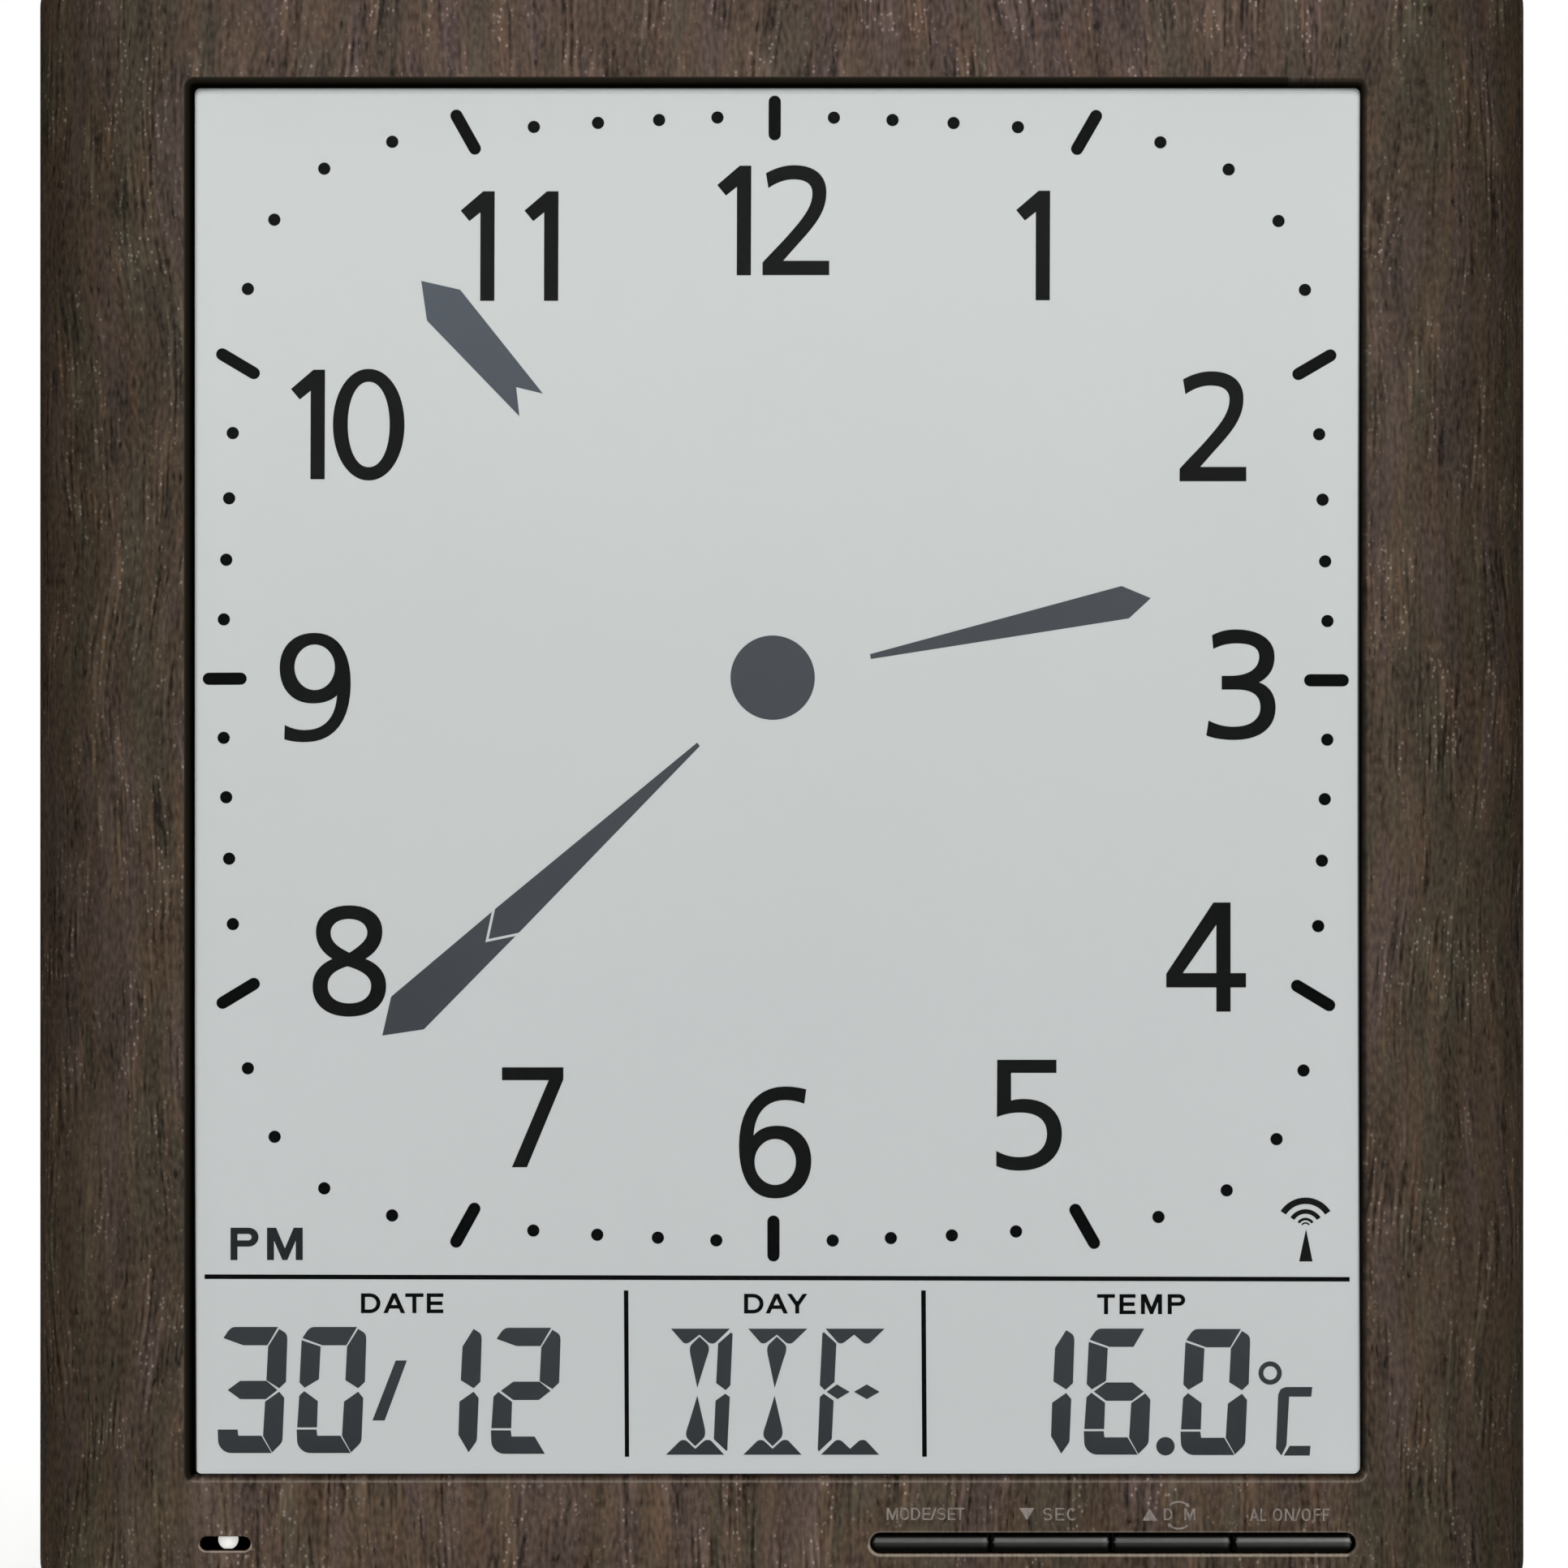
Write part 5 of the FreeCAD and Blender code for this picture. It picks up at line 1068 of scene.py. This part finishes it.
RING = turn_arrow(1452.3, 1867, 16.6, 2.3, 42)
RING += turned((RING, []), 1452.3, 1867)[0]
LABELS_RAIL = {
    "print_mode_set": word([("M", 1092.5, 1106.5), ("O", 1108.8, 1120.2), ("D", 1122.6, 1133.6), ("E", 1136.6, 1146.6),
                            ("/", 1146.6, 1154), ("S", 1154.8, 1165.6), ("E", 1168, 1177.4), ("T", 1177.6, 1188.4)],
                           1857.8, 1872.8, 2.05),
    "print_down_second": [([[(1255.6, 1858), (1274.6, 1858), (1266.4, 1872.2), (1264.6, 1872.2)]], [])]
    + word([("S", 1285.4, 1296.4), ("E", 1300.4, 1311.4), ("C", 1314.6, 1327.4)], 1858, 1873.4, 2.1),
    "print_up_day_month": [([[(1407.6, 1873.6), (1415.6, 1859.8), (1417.4, 1859.8), (1426, 1873.6)]], []), (RING, [])]
    + word([("D", 1434, 1444.6), ("M", 1459.4, 1472.6)], 1858.6, 1873, 2.1),
    "print_alarm": word([("A", 1540, 1551), ("L", 1553, 1560), ("O", 1568.6, 1579.8), ("N", 1583.2, 1594.4), ("/", 1595, 1602.6),
                         ("O", 1604, 1614.8), ("F", 1618.6, 1627), ("F", 1630, 1638.2)], 1858.8, 1874, 2.05),
}


# ---------------------------------------------------------------- thin pieces cut to those outlines
def to_frame(px, py, back):
    """Point of the frame, in millimetres, that shows at a pixel, on a plane this far behind the face."""
    k = PITCH * (1000.0 + back) / 1000.0
    return VIEW_AT[0] + (px - 966.0) * k, VIEW_AT[2] - (py - 966.0) * k


def cut_piece(name, shapes, y_front, y_back, finish, takes):
    """Closed thin piece: every shape filled, its holes left open, from y_back to y_front."""
    back = y_front - FACE_Y
    verts, tris = [], []
    for solids, holes in shapes:
        flat, loops = [], []
        for outline in solids + holes:
            ring = [Vector(to_frame(px, py, back)) for px, py in outline]
            if sum(a.x * b.y - b.x * a.y for a, b in zip(ring, ring[1:] + ring[:1])) < 0:
                ring.reverse()
            loops.append(list(range(len(flat), len(flat) + len(ring))))
            flat += ring
        v, _, f, _, _, source = delaunay_2d_cdt(flat, [], loops, 1, 1e-5, True)
        base = len(verts)
        verts += [(p[0], p[1]) for p in v]
        for tri, of in zip(f, source):
            if any(s < len(solids) for s in of) and not any(s >= len(solids) for s in of):
                a, b, c = (v[k] for k in tri)
                up = (b[0] - a[0]) * (c[1] - a[1]) - (b[1] - a[1]) * (c[0] - a[0])
                if abs(up) > 1e-9:
                    tris.append([base + k for k in (tri if up > 0 else tri[::-1])])
    used = sorted({k for t in tris for k in t})
    place = {k: i for i, k in enumerate(used)}
    n = len(used)
    points = [(verts[k][0] / 1000, y_front / 1000, verts[k][1] / 1000) for k in used]
    points += [(x, y_back / 1000, z) for x, _, z in points]
    tris = [[place[k] for k in t] for t in tris]
    edges = {(t[i], t[(i + 1) % 3]) for t in tris for i in range(3)}
    faces = [tuple(t) for t in tris] + [tuple(k + n for k in t[::-1]) for t in tris]
    faces += [(b, a, a + n, b + n) for a, b in sorted(edges) if (b, a) not in edges]
    mesh = bpy.data.meshes.new(name)
    mesh.from_pydata(points, [], faces)
    mesh.validate()
    mesh.update()
    mesh.materials.append(finish)
    piece = bpy.data.objects.new(name, mesh)
    scene.collection.objects.link(piece)
    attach(piece, "case")
    return piece


PRINTED = segment_ink("display_print", srgb(20, 21, 20), srgb(20, 21, 20), mottle=0.03)
BLACK_INK = segment_ink("display_lines", srgb(4, 5, 5), srgb(6, 7, 7), mottle=0.015)
SLATE = segment_ink("display_segment", srgb(54, 57, 60), srgb(89, 93, 99))
DARK_SLATE = segment_ink("display_segment_dark", srgb(35, 39, 41), srgb(35, 39, 41), mottle=0.06)
SLATE_FAR = segment_ink("display_segment_far", srgb(70, 75, 82), srgb(92, 98, 106), 20.0, 75.0)
RAIL = rail_ink()
ON_GLASS = (GLASS_Y - INK, GLASS_Y + 0.01)
ON_FACE = (FACE_Y - INK / 2, FACE_Y + 0.01)

for name, shapes in NUMERALS.items():
    cut_piece(name, shapes, *ON_GLASS, PRINTED, "black_plastic")
cut_piece("minute_track", [TICKS], *ON_GLASS, BLACK_INK, "black_plastic")
cut_piece("dial_rules", [LINES], *ON_GLASS, BLACK_INK, "black_plastic")
for name, solids in HANDS.items():
    cut_piece(name, [(solids, [])], *ON_GLASS, SLATE_FAR if name == "hand_far" else SLATE, "black_plastic")
cut_piece("digits_date", [(DATE, [])], *ON_GLASS, SLATE, "black_plastic")
cut_piece("digits_day", [(DAY, [])], *ON_GLASS, SLATE, "black_plastic")
cut_piece("digits_temperature", [(TEMP, [])], *ON_GLASS, SLATE, "black_plastic")
cut_piece("degree_ring", [DEGREE], *ON_GLASS, SLATE, "black_plastic")
cut_piece("radio_sign", [(RADIO, [])], *ON_GLASS, PRINTED, "black_plastic")
for name, shapes in LABELS_LCD.items():
    cut_piece(name, shapes, *ON_GLASS, DARK_SLATE if name == "label_pm" else BLACK_INK, "black_plastic")
for name, shapes in LABELS_RAIL.items():
    cut_piece(name, shapes, *ON_FACE, RAIL, "button_grey")

# ---------------------------------------------------------------- floor
half, zf = 3.0, cad_low[2]
floor_mesh = bpy.data.meshes.new("floor")
floor_mesh.from_pydata([(-half, -half, zf), (half, -half, zf), (half, half, zf), (-half, half, zf)], [], [(0, 1, 2, 3)])
floor_mesh.materials.append(floor_paint())
floor = bpy.data.objects.new("floor", floor_mesh)
scene.collection.objects.link(floor)
